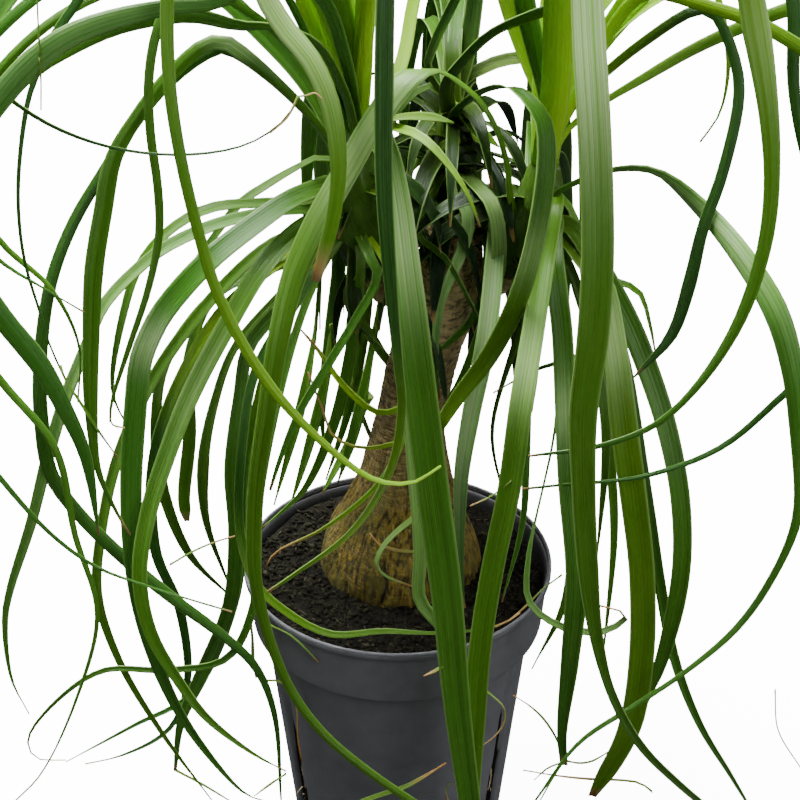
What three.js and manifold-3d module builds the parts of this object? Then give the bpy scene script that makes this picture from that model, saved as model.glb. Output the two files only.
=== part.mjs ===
// Ponytail palm in a deep nursery pot, in millimetres, +Z up.
// The origin is the middle of the pot's flat underside, and -Y is the front.
import * as THREE from 'three';
import { mergeVertices } from 'three/addons/utils/BufferGeometryUtils.js';
import Module from 'manifold-3d';

const wasm = await Module();
wasm.setup();

// Pot
const potHeight = 220;
const rimRadius = 95;
const rimHeight = 6;
const bandTopRadius = 93;
const bandFootRadius = 90;
const bandHeight = 41;
const bodyTopRadius = 83;
const bodyFootRadius = 64.5;
const wall = 1.8;
const floorThickness = 2.5;
const lipThickness = 2.6;
const potSides = 40;
const ledgeSlope = 1.5;
const grooveAngles = [-60, 58, 179];
const grooveTop = 166;
const grooveDepth = 9;
const grooveWidth = 14;
const grooveTopDepth = 0.4;
const grooveTopWidth = 4;
const cutReach = 110;
const cutFoot = -5;
const slotBottom = 10;
const slotTop = 68;
const slotWidth = 9;

// Soil and seats
const soilTop = 205;
const soilRelief = 1.6;
const bandClearance = 2.2;
const trunkClearance = 0.7;
const seatGap = 0.3;
const rootRadius = 2.6;
const rootRadii = [1.6, 2.3, 2.6, 2.6, 2.4, 2.6, 2.2, 1.4];

// Trunk: centre x, centre y, height and radius of each ring, from the buried foot to the sawn top
const trunkSides = 22;
const trunkRings = [
  [2, 18, 150, 30], [2, 18, 168, 43], [2, 18, 188, 49], [2, 18, 205, 50], [2, 18, 222, 47.4],
  [3, 18, 245, 37.5], [5, 18, 270, 28], [6.5, 19, 300, 21.5], [10.5, 20, 325, 20.5], [16, 20, 355, 20.5],
  [25, 20, 385, 19.5], [29, 20, 410, 18.5], [31, 20, 432, 16.5], [32, 20, 443, 13.5],
];
const ridgeDepth = 0.035;

// Shoots: where each leaves the trunk, and the centre line of its leafy head
const shootRadii = [8, 9, 10, 11, 11];
const shootBend = 18;
const heads = {
  left: {
    node: 'head_left',
    from: [29, 20, 386],
    axis: [[-14, 10, 416], [-25, 3, 457], [-21, 0, 514]],
    color: 0x3f7a1c,
  },
  right: {
    node: 'head_right',
    from: [32, 20, 398],
    axis: [[62, 12, 418], [77, 4, 454], [82, 0, 490]],
    color: 0x3a7318,
  },
  center: {
    node: 'head_center',
    from: [33, 24, 404],
    axis: [[34, 48, 431], [32, 51, 460], [31, 49, 494]],
    color: 0x356c1a,
  },
};
const coreRadii = [12, 14, 13, 7];

// Front view: the eye's place, how far it looks down, and the size of its square frame in pixels.
// A leaf is laid out by points of this frame, and the third number, where given, is its depth y in millimetres.
const eye = new THREE.Vector3(1.5, -1051.7, 984.1);
const eyePitch = THREE.MathUtils.degToRad(31.7);
const eyeFocal = 2100;
const frameMiddle = 400;

// Leaf blades
const bladeStep = 62;
const fineStep = 7;
const mostTwist = THREE.MathUtils.degToRad(13);
const mostBend = THREE.MathUtils.degToRad(42);
const keelShare = 0.2;
const keelLeast = 1.3;
const keelBelow = 0.6;
const tipWidth = 1.4;
const baseFlare = 0.5;
const flareEnd = 0.07;
const taperStart = 0.45;
const taperPower = 2;
const turnLength = 70;
const lowestSeat = 0.3;
const highestSeat = 0.97;
const finestEdge = 0.05;

// Leaves seen from the front: seat on the shoot from 0 at its foot to 1 at its tip, width in mm, centre line
const seenLeaves = {
  left: [
    [0.9, 11, [[345, 60], [318, -5], [275, -25], [220, 3, -110], [160, 9], [80, 31], [40, 56], [10, 86, -130],
      [-25, 135], [-42, 190], [-38, 250], [0, 315, -135], [40, 365], [65, 410], [85, 455], [99, 535, -130]]],
    [0.8, 9, [[340, 85], [310, 40], [275, 28], [240, 27, -70], [190, 16], [120, 25], [60, 52], [30, 72],
      [0, 103, -95], [-30, 150], [-50, 215], [-60, 300], [-62, 380, -100]]],
    [0.95, 8, [[350, 40], [335, -60], [300, -110], [250, -90], [215, -25, -60], [200, 5], [187, 21, -70]]],
    [0.95, 7, [[345, 40], [310, -70], [240, -130], [160, -110], [105, -50, -80], [78, 0], [50, 42], [36, 76],
      [27, 105], [18, 190], [24, 258], [39, 310], [50, 345], [66, 381, -90]]],
    [0.9, 8, [[335, 50], [290, -60], [200, -110], [90, -90], [-5, -30], [-45, 30, -120], [-30, 68], [0, 92],
      [50, 125], [110, 147], [180, 155], [245, 145], [285, 119], [298, 97, -125]]],
    [0.85, 5, [[340, 60], [300, -20], [240, -50], [190, -30], [160, 22, -85], [149, 75], [150, 130], [158, 190],
      [159, 235], [148, 290], [128, 350], [111, 405], [110, 422, -90]]],
    [0.95, 6.5, [[345, 30], [310, -70], [250, -110], [195, -80], [170, -25, -130], [167, 30], [170, 90],
      [181, 160], [197, 227], [218, 295], [262, 375], [320, 440], [375, 480], [412, 483], [441, 466, -160]]],
    [0.25, 9, [[335, 155], [318, 127], [280, 86], [240, 52], [223, 42, -70], [205, 45], [165, 81], [135, 120],
      [113, 160], [103, 212], [94, 270], [91, 340], [91, 410], [98, 470], [118, 515], [130, 535, -90]]],
    [0.3, 8, [[338, 140], [315, 115], [285, 92], [250, 75], [215, 72], [185, 82, -55], [140, 122], [105, 165],
      [72, 225], [50, 285], [40, 360], [41, 420], [51, 475], [77, 512], [128, 562], [176, 601], [222, 635],
      [255, 666], [274, 712], [281, 800, -70]]],
    [0.95, 11, [[345, 20], [318, -60], [285, -85], [262, -55], [262, -15, -110], [283, 25], [311, 60],
      [330, 103], [339, 160], [334, 215], [316, 281, -125]]],
    [0.6, 11, [[332, 130], [305, 82], [262, 33], [205, -18], [120, -60, 60], [50, -40], [-10, 30], [-40, 120],
      [-50, 230, 60]]],
    [0.99, 15, [[343, 90], [325, 40], [308, 0], [292, -60], [262, -150], [225, -215, -30]]],
    [0.97, 12, [[350, 80], [343, 30], [333, -20], [318, -110], [285, -240, 10]]],
    [1, 12, [[356, 70], [358, 20], [361, -40], [372, -130], [392, -210, 40]]],
    [0.98, 8, [[362, 80], [367, 30], [372, -30], [388, -110], [410, -165, 60]]],
    [0.9, 8, [[372, 115], [390, 92], [404, 55], [413, 5], [428, -60], [455, -110, 80]]],
    [0.3, 7.5, [[335, 208], [311, 211], [268, 213], [215, 225], [165, 248], [145, 263, -45], [106, 303],
      [85, 350], [65, 400], [47, 460], [32, 520], [10, 590], [5, 620], [12, 680], [29, 714, -75]]],
    [0.35, 6, [[338, 190], [315, 200], [260, 203], [210, 208], [170, 230], [140, 265], [122, 320], [112, 380],
      [115, 402], [126, 423, -50]]],
    [0.4, 5, [[340, 165], [318, 158], [298, 167], [265, 186], [240, 203], [215, 235], [186, 275],
      [172, 302, -10]]],
    [0.4, 12.5, [[342, 185], [319, 190], [295, 198], [250, 228], [205, 264], [163, 312], [149, 338],
      [141, 360, -70], [135, 415], [131, 490], [135, 570], [148, 635], [172, 698], [205, 750], [246, 794],
      [265, 801, -95]]],
    [0.2, 10.5, [[335, 215], [304, 226], [262, 268], [230, 320], [190, 396, -75], [167, 455], [149, 512],
      [140, 575], [150, 630], [176, 677], [206, 717], [252, 753], [286, 771, -110]]],
    [0.1, 8, [[325, 245], [290, 262], [225, 288], [190, 322], [163, 370], [156, 430], [163, 490], [190, 555],
      [231, 597, -20]]],
    [0.1, 8, [[320, 240], [270, 262], [235, 280], [210, 302], [189, 360], [190, 430], [184, 500],
      [187, 521, -10]]],
    [0.1, 7, [[322, 255], [285, 290], [236, 346], [215, 402], [204, 460], [206, 520], [232, 592, 0]]],
    [0.05, 8, [[325, 260], [290, 300], [250, 345], [240, 400], [232, 470], [236, 530], [230, 605], [203, 672],
      [181, 722], [175, 771, -40]]],
    [0.1, 5.5, [[328, 255], [298, 300], [256, 370], [243, 440], [240, 530, -70], [255, 582], [285, 611],
      [330, 634], [384, 631], [440, 633], [500, 625, -100], [520, 613]]],
    [0, 8, [[336, 250, 14], [322, 272], [315, 340], [303, 400], [281, 480], [274, 505, 30]]],
    [0, 8, [[340, 246, 24], [338, 275], [330, 340], [322, 415], [325, 455, 40]]],
    [0.05, 7, [[362, 255, -16], [352, 345], [335, 420], [304, 490], [284, 510], [262, 528, 0]]],
    [0, 8, [[366, 250, 32], [366, 300, 42], [360, 350], [348, 412], [326, 480, 50]]],
    [0.1, 5, [[372, 262], [378, 275, -30], [355, 320], [328, 365], [300, 411], [279, 462], [270, 490, -60]]],
    [0.1, 4, [[385, 262], [396, 310], [408, 400, -60], [378, 412], [345, 387], [315, 346], [301, 330, -40]]],
    [0.1, 3.5, [[390, 270], [402, 330], [414, 430, -60], [365, 448], [333, 436], [323, 410], [308, 372, -50]]],
    [0.95, 10, [[362, 60], [366, -20], [372, -90], [381, -115], [385, -70, -110], [384, 60], [384, 180],
      [390, 275], [399, 370], [402, 405], [391, 468], [352, 531], [295, 574], [268, 592, -150]]],
    [0.9, 12.5, [[364, 70], [370, 0], [378, -55], [386, -60], [384, -10, -88], [385, 110], [399, 220],
      [412, 330], [423, 415], [434, 500], [447, 598], [457, 705], [470, 805], [478, 860, -135]]],
    [0.5, 7.5, [[378, 150], [392, 200, -50], [402, 330], [413, 450], [420, 550], [420, 600], [440, 625, -95]]],
    [0.4, 4, [[385, 200], [398, 290, -50], [405, 425], [383, 478], [326, 527], [275, 553], [266, 567, -70]]],
    [0.9, 6.5, [[375, 122], [397, 128], [418, 135], [438, 152], [466, 191], [480, 226, -60]]],
    [0.05, 5, [[330, 255], [300, 320], [262, 480], [252, 612, -62], [224, 660], [165, 670], [105, 670],
      [60, 698], [28, 740], [36, 758], [66, 760, -60]]],
    [0, 6, [[322, 262], [280, 330], [245, 470], [235, 600], [190, 695, -35], [135, 725], [66, 762, -45]]],
    [0.1, 7, [[330, 235], [270, 270], [215, 320], [158, 440], [155, 548], [180, 610], [187, 685], [168, 730],
      [120, 756], [85, 764, -35]]],
    [0.15, 7, [[330, 225], [270, 245], [175, 345], [122, 446], [101, 535], [98, 595], [119, 660], [160, 730],
      [214, 803, -50]]],
    [0.9, 5, [[330, 60], [270, -70], [170, -140], [60, -120], [-30, -40], [-75, 80], [-80, 200], [-50, 310],
      [0, 380], [55, 448], [75, 535], [97, 612], [78, 695], [40, 775], [15, 801, -100]]],
    [0.9, 5, [[325, 75], [255, -50], [150, -115], [40, -90], [-50, 0], [-100, 120], [-110, 260], [-75, 380],
      [0, 478], [50, 533], [95, 566], [150, 587], [232, 612, -120]]],
    [0.6, 6, [[330, 90], [265, 0], [180, -50], [80, -30], [-10, 40], [-60, 130], [-55, 200], [0, 261],
      [45, 289], [84, 312, -90]]],
    [0.6, 5, [[328, 100], [260, 20], [170, -20], [70, 10], [-15, 90], [-40, 170], [0, 241], [52, 290],
      [79, 346], [78, 402, -70]]],
  ],
  right: [
    [0.9, 15, [[556, 90], [560, 0], [566, -80], [575, -110], [582, -70, -120], [589, 50], [595, 150],
      [597, 262], [592, 340], [583, 412], [583, 480], [588, 570], [597, 640], [613, 697], [641, 746],
      [680, 785], [725, 822, -170]]],
    [0.2, 11.5, [[553, 215], [552, 240], [556, 280], [562, 330, -60], [565, 400], [568, 480], [576, 580],
      [570, 660], [562, 735], [564, 765, -105]]],
    [0.35, 10.5, [[560, 192], [583, 181], [612, 171], [656, 173], [700, 208, -60], [745, 261], [776, 312],
      [793, 370, -115], [800, 440], [797, 520], [771, 580], [735, 630], [685, 672], [634, 706], [580, 742],
      [535, 801, -120]]],
    [0.95, 9.5, [[565, 90], [590, -10], [630, -90], [685, -115], [732, -70, -110], [757, 35], [771, 140],
      [770, 212], [759, 268], [735, 330], [695, 389], [655, 425], [600, 446], [528, 456, -125]]],
    [0.7, 6.5, [[570, 112], [590, 88], [640, 45], [697, 10], [713, 13], [734, 57], [739, 95], [722, 175],
      [703, 228], [689, 285], [671, 336], [634, 377, -75]]],
    [0.75, 8, [[565, 135], [585, 116], [640, 82], [700, 47], [768, 17], [800, 6], [850, -5], [900, 15],
      [935, 75], [950, 160], [945, 260], [925, 370, -60]]],
    [0.9, 7.5, [[575, 100], [605, 40], [645, -5], [705, 6], [775, 32], [845, 90, -80], [880, 220],
      [835, 345], [780, 398], [720, 448], [645, 476], [560, 485], [522, 489, -85]]],
    [0.95, 8, [[570, 90], [600, -30], [660, -110], [725, -120], [775, -70], [793, 0, -60], [794, 90],
      [812, 180], [865, 300, -60]]],
    [0.9, 4, [[575, 95], [615, 20], [665, -30], [705, -25], [728, 50], [720, 112], [700, 142, -40]]],
    [0.2, 4.5, [[568, 240], [590, 270], [612, 280], [638, 291], [650, 325], [656, 357, -40]]],
    [0.25, 9.5, [[568, 225], [592, 255], [626, 316, -45], [648, 370], [667, 430], [680, 500], [681, 570],
      [667, 642], [646, 704, -80]]],
    [0.15, 13, [[562, 235], [585, 262], [602, 285], [614, 345, -60], [623, 420], [634, 500], [642, 575],
      [641, 660], [628, 730], [592, 796, -100]]],
    [0.1, 6, [[560, 250], [580, 300], [597, 350], [607, 430], [614, 530], [603, 659, -40]]],
    [0.15, 6, [[560, 250], [585, 310], [600, 380], [606, 440], [597, 560, -50]]],
    [0.15, 7, [[570, 235], [600, 290], [622, 350], [646, 490], [659, 578], [675, 660], [700, 725], [731, 776],
      [770, 840, -60]]],
    [0.3, 12, [[553, 195], [551, 215], [546, 245, -45], [533, 330], [521, 405], [510, 485, -115], [493, 568],
      [480, 650], [473, 750], [470, 830, -125]]],
    [0.1, 8, [[552, 235], [560, 300], [574, 460], [566, 597], [532, 669, -70]]],
    [0.05, 14, [[512, 200], [508, 165], [497, 128], [480, 100], [458, 81, -30], [432, 70], [408, 78],
      [370, 128], [352, 160, -70], [320, 217], [295, 272], [280, 330], [270, 390, -115], [255, 500],
      [257, 590], [287, 683], [322, 732], [368, 771], [440, 820, -120]]],
    [1, 15, [[548, 110], [551, 50], [556, -10], [566, -90], [582, -160, 20]]],
    [0.97, 14, [[553, 105], [568, 55], [583, 10], [612, -70], [650, -150, 10]]],
    [0.94, 11, [[545, 110], [528, 60], [508, 0], [490, -70], [480, -150, 30]]],
    [0.92, 7, [[560, 115], [585, 75], [605, 45], [640, 5], [690, -60], [745, -110, -10]]],
    [0.96, 8, [[555, 120], [575, 95], [600, 40], [625, 0], [665, -70], [720, -130], [770, -150, 40]]],
    [0.98, 8, [[546, 105], [535, 50], [524, 0], [515, -80], [512, -170, -20]]],
    [0.1, 8, [[552, 195], [565, 202], [581, 248], [592, 340], [590, 400], [588, 460, -10]]],
    [0.1, 4, [[568, 230], [590, 280], [598, 330], [585, 352], [535, 370], [493, 393, -30]]],
    [0.3, 7, [[540, 262, 40], [520, 330], [492, 430], [502, 490], [510, 520, 40]]],
    [0.2, 2.5, [[545, 250], [553, 330], [556, 420], [528, 560], [530, 603], [563, 627], [604, 631],
      [627, 615], [594, 604, -100]]],
    [0.1, 5, [[530, 270], [528, 340], [526, 460], [523, 520], [502, 602, -60]]],
  ],
  center: [
    [0.9, 11.5, [[456, 112], [466, 103], [480, 93, -5], [517, 90], [541, 118, -50], [546, 150], [538, 222],
      [519, 295, -75], [489, 356], [458, 397], [438, 428, -70]]],
    [0.4, 11, [[472, 196], [484, 187], [494, 187, 14], [494, 255, -16], [486, 340, -50], [471, 415], [461, 480],
      [461, 570], [465, 608, -70]]],
    [0.3, 9, [[476, 186], [492, 205, -18], [499, 250], [490, 305, -15], [458, 383], [440, 407, -25]]],
    [0.3, 7, [[462, 200], [469, 220, -5], [460, 256], [441, 300], [435, 368], [439, 398, -30]]],
    [0.4, 3.5, [[432, 196], [416, 232, -5], [445, 258], [467, 296], [490, 343, -25]]],
    [0.9, 8, [[455, 95], [464, 62], [471, 30], [476, -5], [486, -70], [505, -140, 90]]],
    [0.9, 5.5, [[446, 100], [428, 68], [434, 45], [460, -10], [485, -60], [520, -100, 60]]],
    [0.85, 5, [[448, 85], [465, 60], [496, 32], [530, 17, -30], [570, 2], [620, -30], [680, -50, -40]]],
    [0.5, 9, [[438, 125], [422, 145], [404, 200], [400, 240], [396, 290, 50]]],
    [0.6, 5, [[445, 100], [430, 86], [397, 113], [378, 180], [372, 290, 58]]],
    [0.4, 5, [[440, 192], [424, 193], [408, 205], [398, 250], [396, 300, 50]]],
    [0.5, 4, [[462, 160], [474, 175], [488, 190], [503, 201, 34]]],
    [0.7, 8, [[460, 85], [480, 70], [505, 60], [540, 60], [575, 90], [600, 140], [610, 200, 99]]],
    [0.3, 7, [[478, 200], [489, 240], [486, 285, -5], [470, 322], [438, 352], [424, 370, -20]]],
  ],
};

// Leaves that the front view doesn't show. Some hang straight behind their head and some rise and arch over
// the sides: how many, between which compass angles (0 is +X, 90 is the back), between which seats, how long,
// the slopes that they start and end with, and how soon they fall
const behind = { seats: [0.1, 0.95], rise: [25, 80], hang: -84, fall: 0.6 };
const over = { seats: [0.8, 0.95], rise: [78, 82], hang: -30, fall: 1.3 };
const hiddenLeaves = {
  left: [
    { ...behind, count: 8, angles: [90, 102], length: [300, 390] },
    { ...over, count: 7, angles: [112, 200], length: [250, 320] },
  ],
  right: [
    { ...behind, count: 8, angles: [76, 90], length: [300, 390] },
    { ...over, count: 7, angles: [-20, 68], length: [250, 320] },
  ],
  center: [
    { ...behind, count: 12, angles: [82, 98], length: [300, 400] },
  ],
};
const hiddenWidth = [7, 12];
const hiddenSteps = 9;

function seededRandom(seed) {
  let state = seed;
  return () => {
    state = (state * 16807) % 2147483647;
    return state / 2147483647;
  };
}

function vector(values) {
  return new THREE.Vector3(...values);
}

function mix(a, b, share) {
  return a + (b - a) * share;
}

// Ring loft: closed body through rings of equal point count, ended by a flat fan or by a single tip point
function loft(rings, tip) {
  const sides = rings[0].length;
  const points = rings.flat();
  const faces = [];
  for (let ring = 0; ring + 1 < rings.length; ring += 1) {
    for (let side = 0; side < sides; side += 1) {
      const a = ring * sides + side;
      const b = ring * sides + ((side + 1) % sides);
      faces.push(a, b, b + sides, a, b + sides, a + sides);
    }
  }
  for (let side = 1; side + 1 < sides; side += 1) {
    faces.push(0, side + 1, side);
  }
  const last = (rings.length - 1) * sides;
  if (tip) {
    points.push(tip);
    for (let side = 0; side < sides; side += 1) {
      faces.push(last + side, last + ((side + 1) % sides), points.length - 1);
    }
  } else {
    for (let side = 1; side + 1 < sides; side += 1) {
      faces.push(last, last + side, last + side + 1);
    }
  }
  const geometry = new THREE.BufferGeometry().setFromPoints(points);
  geometry.setIndex(faces);
  return geometry;
}

function solid(geometry) {
  const bare = geometry.clone();
  bare.deleteAttribute('normal');
  bare.deleteAttribute('uv');
  const merged = mergeVertices(bare, 1e-4);
  return new wasm.Manifold(new wasm.Mesh({
    numProp: 3,
    vertProperties: new Float32Array(merged.attributes.position.array),
    triVerts: new Uint32Array(merged.index.array),
  }));
}

function geometryOf(body) {
  const mesh = body.getMesh();
  const geometry = new THREE.BufferGeometry();
  geometry.setAttribute('position', new THREE.BufferAttribute(mesh.vertProperties, 3));
  geometry.setIndex(new THREE.BufferAttribute(mesh.triVerts, 1));
  return geometry;
}

function lathe(profile, sides) {
  const points = profile.map(([radius, height]) => new THREE.Vector2(radius, height));
  return new THREE.LatheGeometry(points, sides).rotateX(Math.PI / 2);
}

// Slanted block that follows the pot's side: it cuts a groove, and grown by a margin it keeps the wall and the
// soil clear of that groove
function grooveBlock(angle, margin) {
  const block = new THREE.BoxGeometry(1, 1, 1);
  const place = block.attributes.position;
  for (let i = 0; i < place.count; i += 1) {
    const height = place.getZ(i) > 0 ? grooveTop + 2 * margin : cutFoot;
    const share = THREE.MathUtils.clamp(1 - height / grooveTop, 0, 1);
    const side = mix(bodyFootRadius, bodyTopRadius, height / (potHeight - bandHeight));
    const width = mix(grooveTopWidth, grooveWidth, share) + 2 * margin;
    const inner = side - mix(grooveTopDepth, grooveDepth, share) - margin;
    place.setXYZ(i, Math.sign(place.getX(i)) * width / 2, place.getY(i) > 0 ? -inner : -cutReach, height);
  }
  return solid(block.rotateZ(THREE.MathUtils.degToRad(angle)));
}

function slotBlock(angle) {
  const reach = cutReach / 2;
  const block = new THREE.BoxGeometry(slotWidth, reach, slotTop - slotBottom);
  block.translate(0, -reach * 1.2, (slotTop + slotBottom) / 2);
  return solid(block.rotateZ(THREE.MathUtils.degToRad(angle)));
}

function makePot() {
  const ledge = potHeight - bandHeight;
  const lipInner = rimRadius - lipThickness;
  let shell = solid(lathe([
    [0, 0], [bodyFootRadius, 0], [bodyTopRadius, ledge], [bandFootRadius, ledge + ledgeSlope],
    [bandTopRadius, potHeight - rimHeight], [rimRadius, potHeight - rimHeight + 1], [rimRadius, potHeight - 1],
    [rimRadius - 1, potHeight], [0, potHeight],
  ], potSides));
  let cavity = solid(lathe([
    [0, floorThickness], [bodyFootRadius - wall + 0.2, floorThickness], [bodyTopRadius - wall, ledge + wall],
    [bandFootRadius - wall, ledge + wall + ledgeSlope], [bandTopRadius - wall, potHeight - rimHeight],
    [lipInner, potHeight - 2], [lipInner, potHeight + 5], [0, potHeight + 5],
  ], potSides));
  for (const angle of grooveAngles) {
    shell = shell.subtract(grooveBlock(angle, 0));
    cavity = cavity.subtract(grooveBlock(angle, wall));
  }
  let pot = shell.subtract(cavity);
  for (const angle of grooveAngles) {
    pot = pot.subtract(slotBlock(angle));
  }
  return geometryOf(pot);
}

function trunkRing([x, y, z, radius], grow, ridges) {
  const ring = [];
  for (let side = 0; side < trunkSides; side += 1) {
    const turn = (side / trunkSides) * 2 * Math.PI;
    const wave = Math.sin(5 * turn + 0.02 * z) + 0.7 * Math.sin(9 * turn + 2 - 0.03 * z);
    const reach = radius * (1 + ridges * wave) + grow;
    ring.push(new THREE.Vector3(x + reach * Math.cos(turn), y + reach * Math.sin(turn), z));
  }
  return ring;
}

function makeSoil() {
  const ledge = potHeight - bandHeight;
  const inset = wall + seatGap;
  const steps = 6;
  const top = [];
  for (let step = 0; step <= steps; step += 1) {
    top.push([(1 - step / steps) * (bandTopRadius - inset - bandClearance), soilTop]);
  }
  const block = lathe([
    [0, floorThickness + seatGap], [bodyFootRadius - inset, floorThickness + seatGap],
    [bodyTopRadius - inset, ledge + inset], [bandFootRadius - inset, ledge + inset + ledgeSlope],
    ...top,
  ], potSides);
  const place = block.attributes.position;
  for (let i = 0; i < place.count; i += 1) {
    const x = place.getX(i);
    const y = place.getY(i);
    if (Math.abs(place.getZ(i) - soilTop) < 0.01) {
      const lumps = Math.sin(0.19 * x + 1) * Math.cos(0.23 * y) + 0.6 * Math.sin(0.41 * x - 0.37 * y);
      place.setZ(i, soilTop + soilRelief * (0.6 * lumps - 1));
    }
  }
  let soil = solid(block);
  for (const angle of grooveAngles) {
    soil = soil.subtract(grooveBlock(angle, wall + seatGap));
  }
  const buried = trunkRings.filter((ring) => ring[2] < soilTop + 35);
  const hole = buried.map((ring) => trunkRing(ring, trunkClearance, 0));
  const [x, y, bottom, radius] = buried[0];
  hole.unshift(trunkRing([x, y, bottom - trunkClearance, radius], trunkClearance, 0));
  return geometryOf(soil.subtract(solid(loft(hole))));
}

// Rings across a centre line, each turned square to it
function tube(curve, radii, sides) {
  const count = radii.length - 1;
  const rings = radii.map((radius, step) => {
    const place = curve.getPointAt(step / count);
    const along = curve.getTangentAt(step / count);
    const across = new THREE.Vector3(0, 1, 0).cross(along).normalize();
    const over = along.clone().cross(across);
    const ring = [];
    for (let side = 0; side < sides; side += 1) {
      const turn = (side / sides) * 2 * Math.PI;
      ring.push(place.clone()
        .addScaledVector(across, radius * Math.cos(turn))
        .addScaledVector(over, radius * Math.sin(turn)));
    }
    return ring;
  });
  return loft(rings);
}

function headCurve(head) {
  return new THREE.CatmullRomCurve3(head.axis.map(vector));
}

function makeTrunk() {
  const rings = trunkRings.map((ring) => trunkRing(ring, 0, ring[2] > soilTop + 10 ? ridgeDepth : 0));
  let trunk = solid(loft(rings));
  for (const head of Object.values(heads)) {
    const along = headCurve(head).getTangentAt(0);
    const end = vector(head.axis[0]).addScaledVector(along, -seatGap);
    const bend = end.clone().addScaledVector(along, -shootBend);
    const from = vector(head.from);
    const curve = new THREE.CubicBezierCurve3(from, from, bend, end);
    trunk = trunk.add(solid(tube(curve, shootRadii, 10)));
  }
  return geometryOf(trunk);
}

// Point of the front view's frame, at depth y
function fromFrame(px, py, depth) {
  const right = (px - frameMiddle) / eyeFocal;
  const up = (frameMiddle - py) / eyeFocal;
  const cos = Math.cos(eyePitch);
  const sin = Math.sin(eyePitch);
  const ray = new THREE.Vector3(right, cos + up * sin, up * cos - sin);
  return eye.clone().addScaledVector(ray, (depth - eye.y) / ray.y);
}

// Depths that a centre line leaves out are shared between the ones it gives, by distance in the frame
function withDepths(line, startDepth, startFrame) {
  const run = [0];
  line.forEach(([px, py], i) => {
    const [lastX, lastY] = i === 0 ? startFrame : line[i - 1];
    run.push(run[i] + Math.hypot(px - lastX, py - lastY));
  });
  const known = [[0, startDepth]];
  line.forEach((point, i) => {
    if (point.length === 3) {
      known.push([run[i + 1], point[2]]);
    }
  });
  return line.map(([px, py], i) => {
    const here = run[i + 1];
    const next = known.findIndex(([distance]) => distance >= here);
    if (next < 1) {
      return fromFrame(px, py, known.at(-1)[1]);
    }
    const [before, after] = [known[next - 1], known[next]];
    const share = (here - before[0]) / (after[0] - before[0]);
    return fromFrame(px, py, mix(before[1], after[1], Math.sin(share * Math.PI / 2)));
  });
}

function toFrame(point) {
  const ray = point.clone().sub(eye);
  const cos = Math.cos(eyePitch);
  const sin = Math.sin(eyePitch);
  const far = ray.y * cos - ray.z * sin;
  const up = ray.y * sin + ray.z * cos;
  return [frameMiddle + eyeFocal * ray.x / far, frameMiddle - eyeFocal * up / far];
}

function seatPoint(head, seat) {
  return headCurve(head).getPointAt(mix(lowestSeat, highestSeat, seat));
}

function seenRoute(head, [seat, width, line]) {
  const root = seatPoint(head, seat);
  const rest = withDepths(line, root.y, toFrame(root));
  return { points: [root, ...rest], width };
}

// Leaf that rises from its seat, arches over and hangs: its slope falls steadily along its length
function hiddenRoute(head, plan, index, random) {
  const share = (index + 0.5) / plan.count;
  const order = (index * 5) % plan.count;
  const seat = mix(...plan.seats, share);
  const angle = THREE.MathUtils.degToRad(mix(...plan.angles, (order + 0.3 + 0.4 * random()) / plan.count));
  const length = mix(...plan.length, random());
  const rise = mix(...plan.rise, share) + 6 * (random() - 0.5);
  const sway = THREE.MathUtils.degToRad(10 * (random() - 0.5));
  const points = [seatPoint(head, seat)];
  for (let step = 0; step < hiddenSteps; step += 1) {
    const fallen = Math.min(1, (step / (hiddenSteps - 2)) ** plan.fall);
    const slope = THREE.MathUtils.degToRad(mix(rise, plan.hang, fallen));
    const heading = angle + sway * step / hiddenSteps;
    const move = new THREE.Vector3(Math.cos(heading), Math.sin(heading), 0).multiplyScalar(Math.cos(slope));
    move.z = Math.sin(slope);
    points.push(points.at(-1).clone().addScaledVector(move, length / hiddenSteps));
  }
  return { points, width: mix(...hiddenWidth, random()), natural: true };
}

function bladeWidth(width, share) {
  const flare = 1 + baseFlare * Math.max(0, 1 - share / flareEnd);
  const taper = 1 - (Math.max(0, share - taperStart) / (1 - taperStart)) ** taperPower;
  return Math.max(tipWidth, width * flare * taper);
}

// Ring across a blade: a flat upper face with a keel under it
function bladeRing(place, along, across, width) {
  const upper = along.clone().cross(across);
  const keel = Math.max(keelLeast, keelShare * width);
  return [
    place.clone().addScaledVector(across, width / 2).addScaledVector(upper, keel * (1 - keelBelow)),
    place.clone().addScaledVector(across, -width / 2).addScaledVector(upper, keel * (1 - keelBelow)),
    place.clone().addScaledVector(upper, -keel * keelBelow),
  ];
}

// One blade: a three-sided body that turns its face to the front. Its rings stand closer where it twists or
// bends.
function makeBlade(route) {
  const curve = new THREE.CatmullRomCurve3(route.points);
  const length = curve.getLength();
  const count = Math.round(length / fineStep);
  const far = curve.getPointAt(0.7).sub(route.points[0]).setZ(0).normalize();
  const front = new THREE.Vector3(0, -Math.cos(eyePitch), Math.sin(eyePitch));
  const turn = route.natural ? 0 : 1 - Math.exp(-length / count / turnLength);
  let across = new THREE.Vector3(0, 0, 1).cross(far);
  let last = null;
  const rings = [];
  for (let step = 0; step < count - 1; step += 1) {
    const share = step / count;
    const along = curve.getTangentAt(share);
    const target = front.clone().cross(along);
    if (target.dot(across) < 0) {
      target.negate();
    }
    across = across.clone().multiplyScalar(1 - turn).addScaledVector(target, step === 0 ? 0 : turn);
    across.addScaledVector(along, -across.dot(along)).normalize();
    const due = last === null || (share - last.share) * length >= bladeStep
      || across.angleTo(last.across) > mostTwist || along.angleTo(last.along) > mostBend;
    if (due) {
      rings.push(bladeRing(curve.getPointAt(share), along, across, bladeWidth(route.width, share)));
      last = { share, along, across };
    }
  }
  return loft(rings, curve.getPointAt(1));
}

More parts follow.
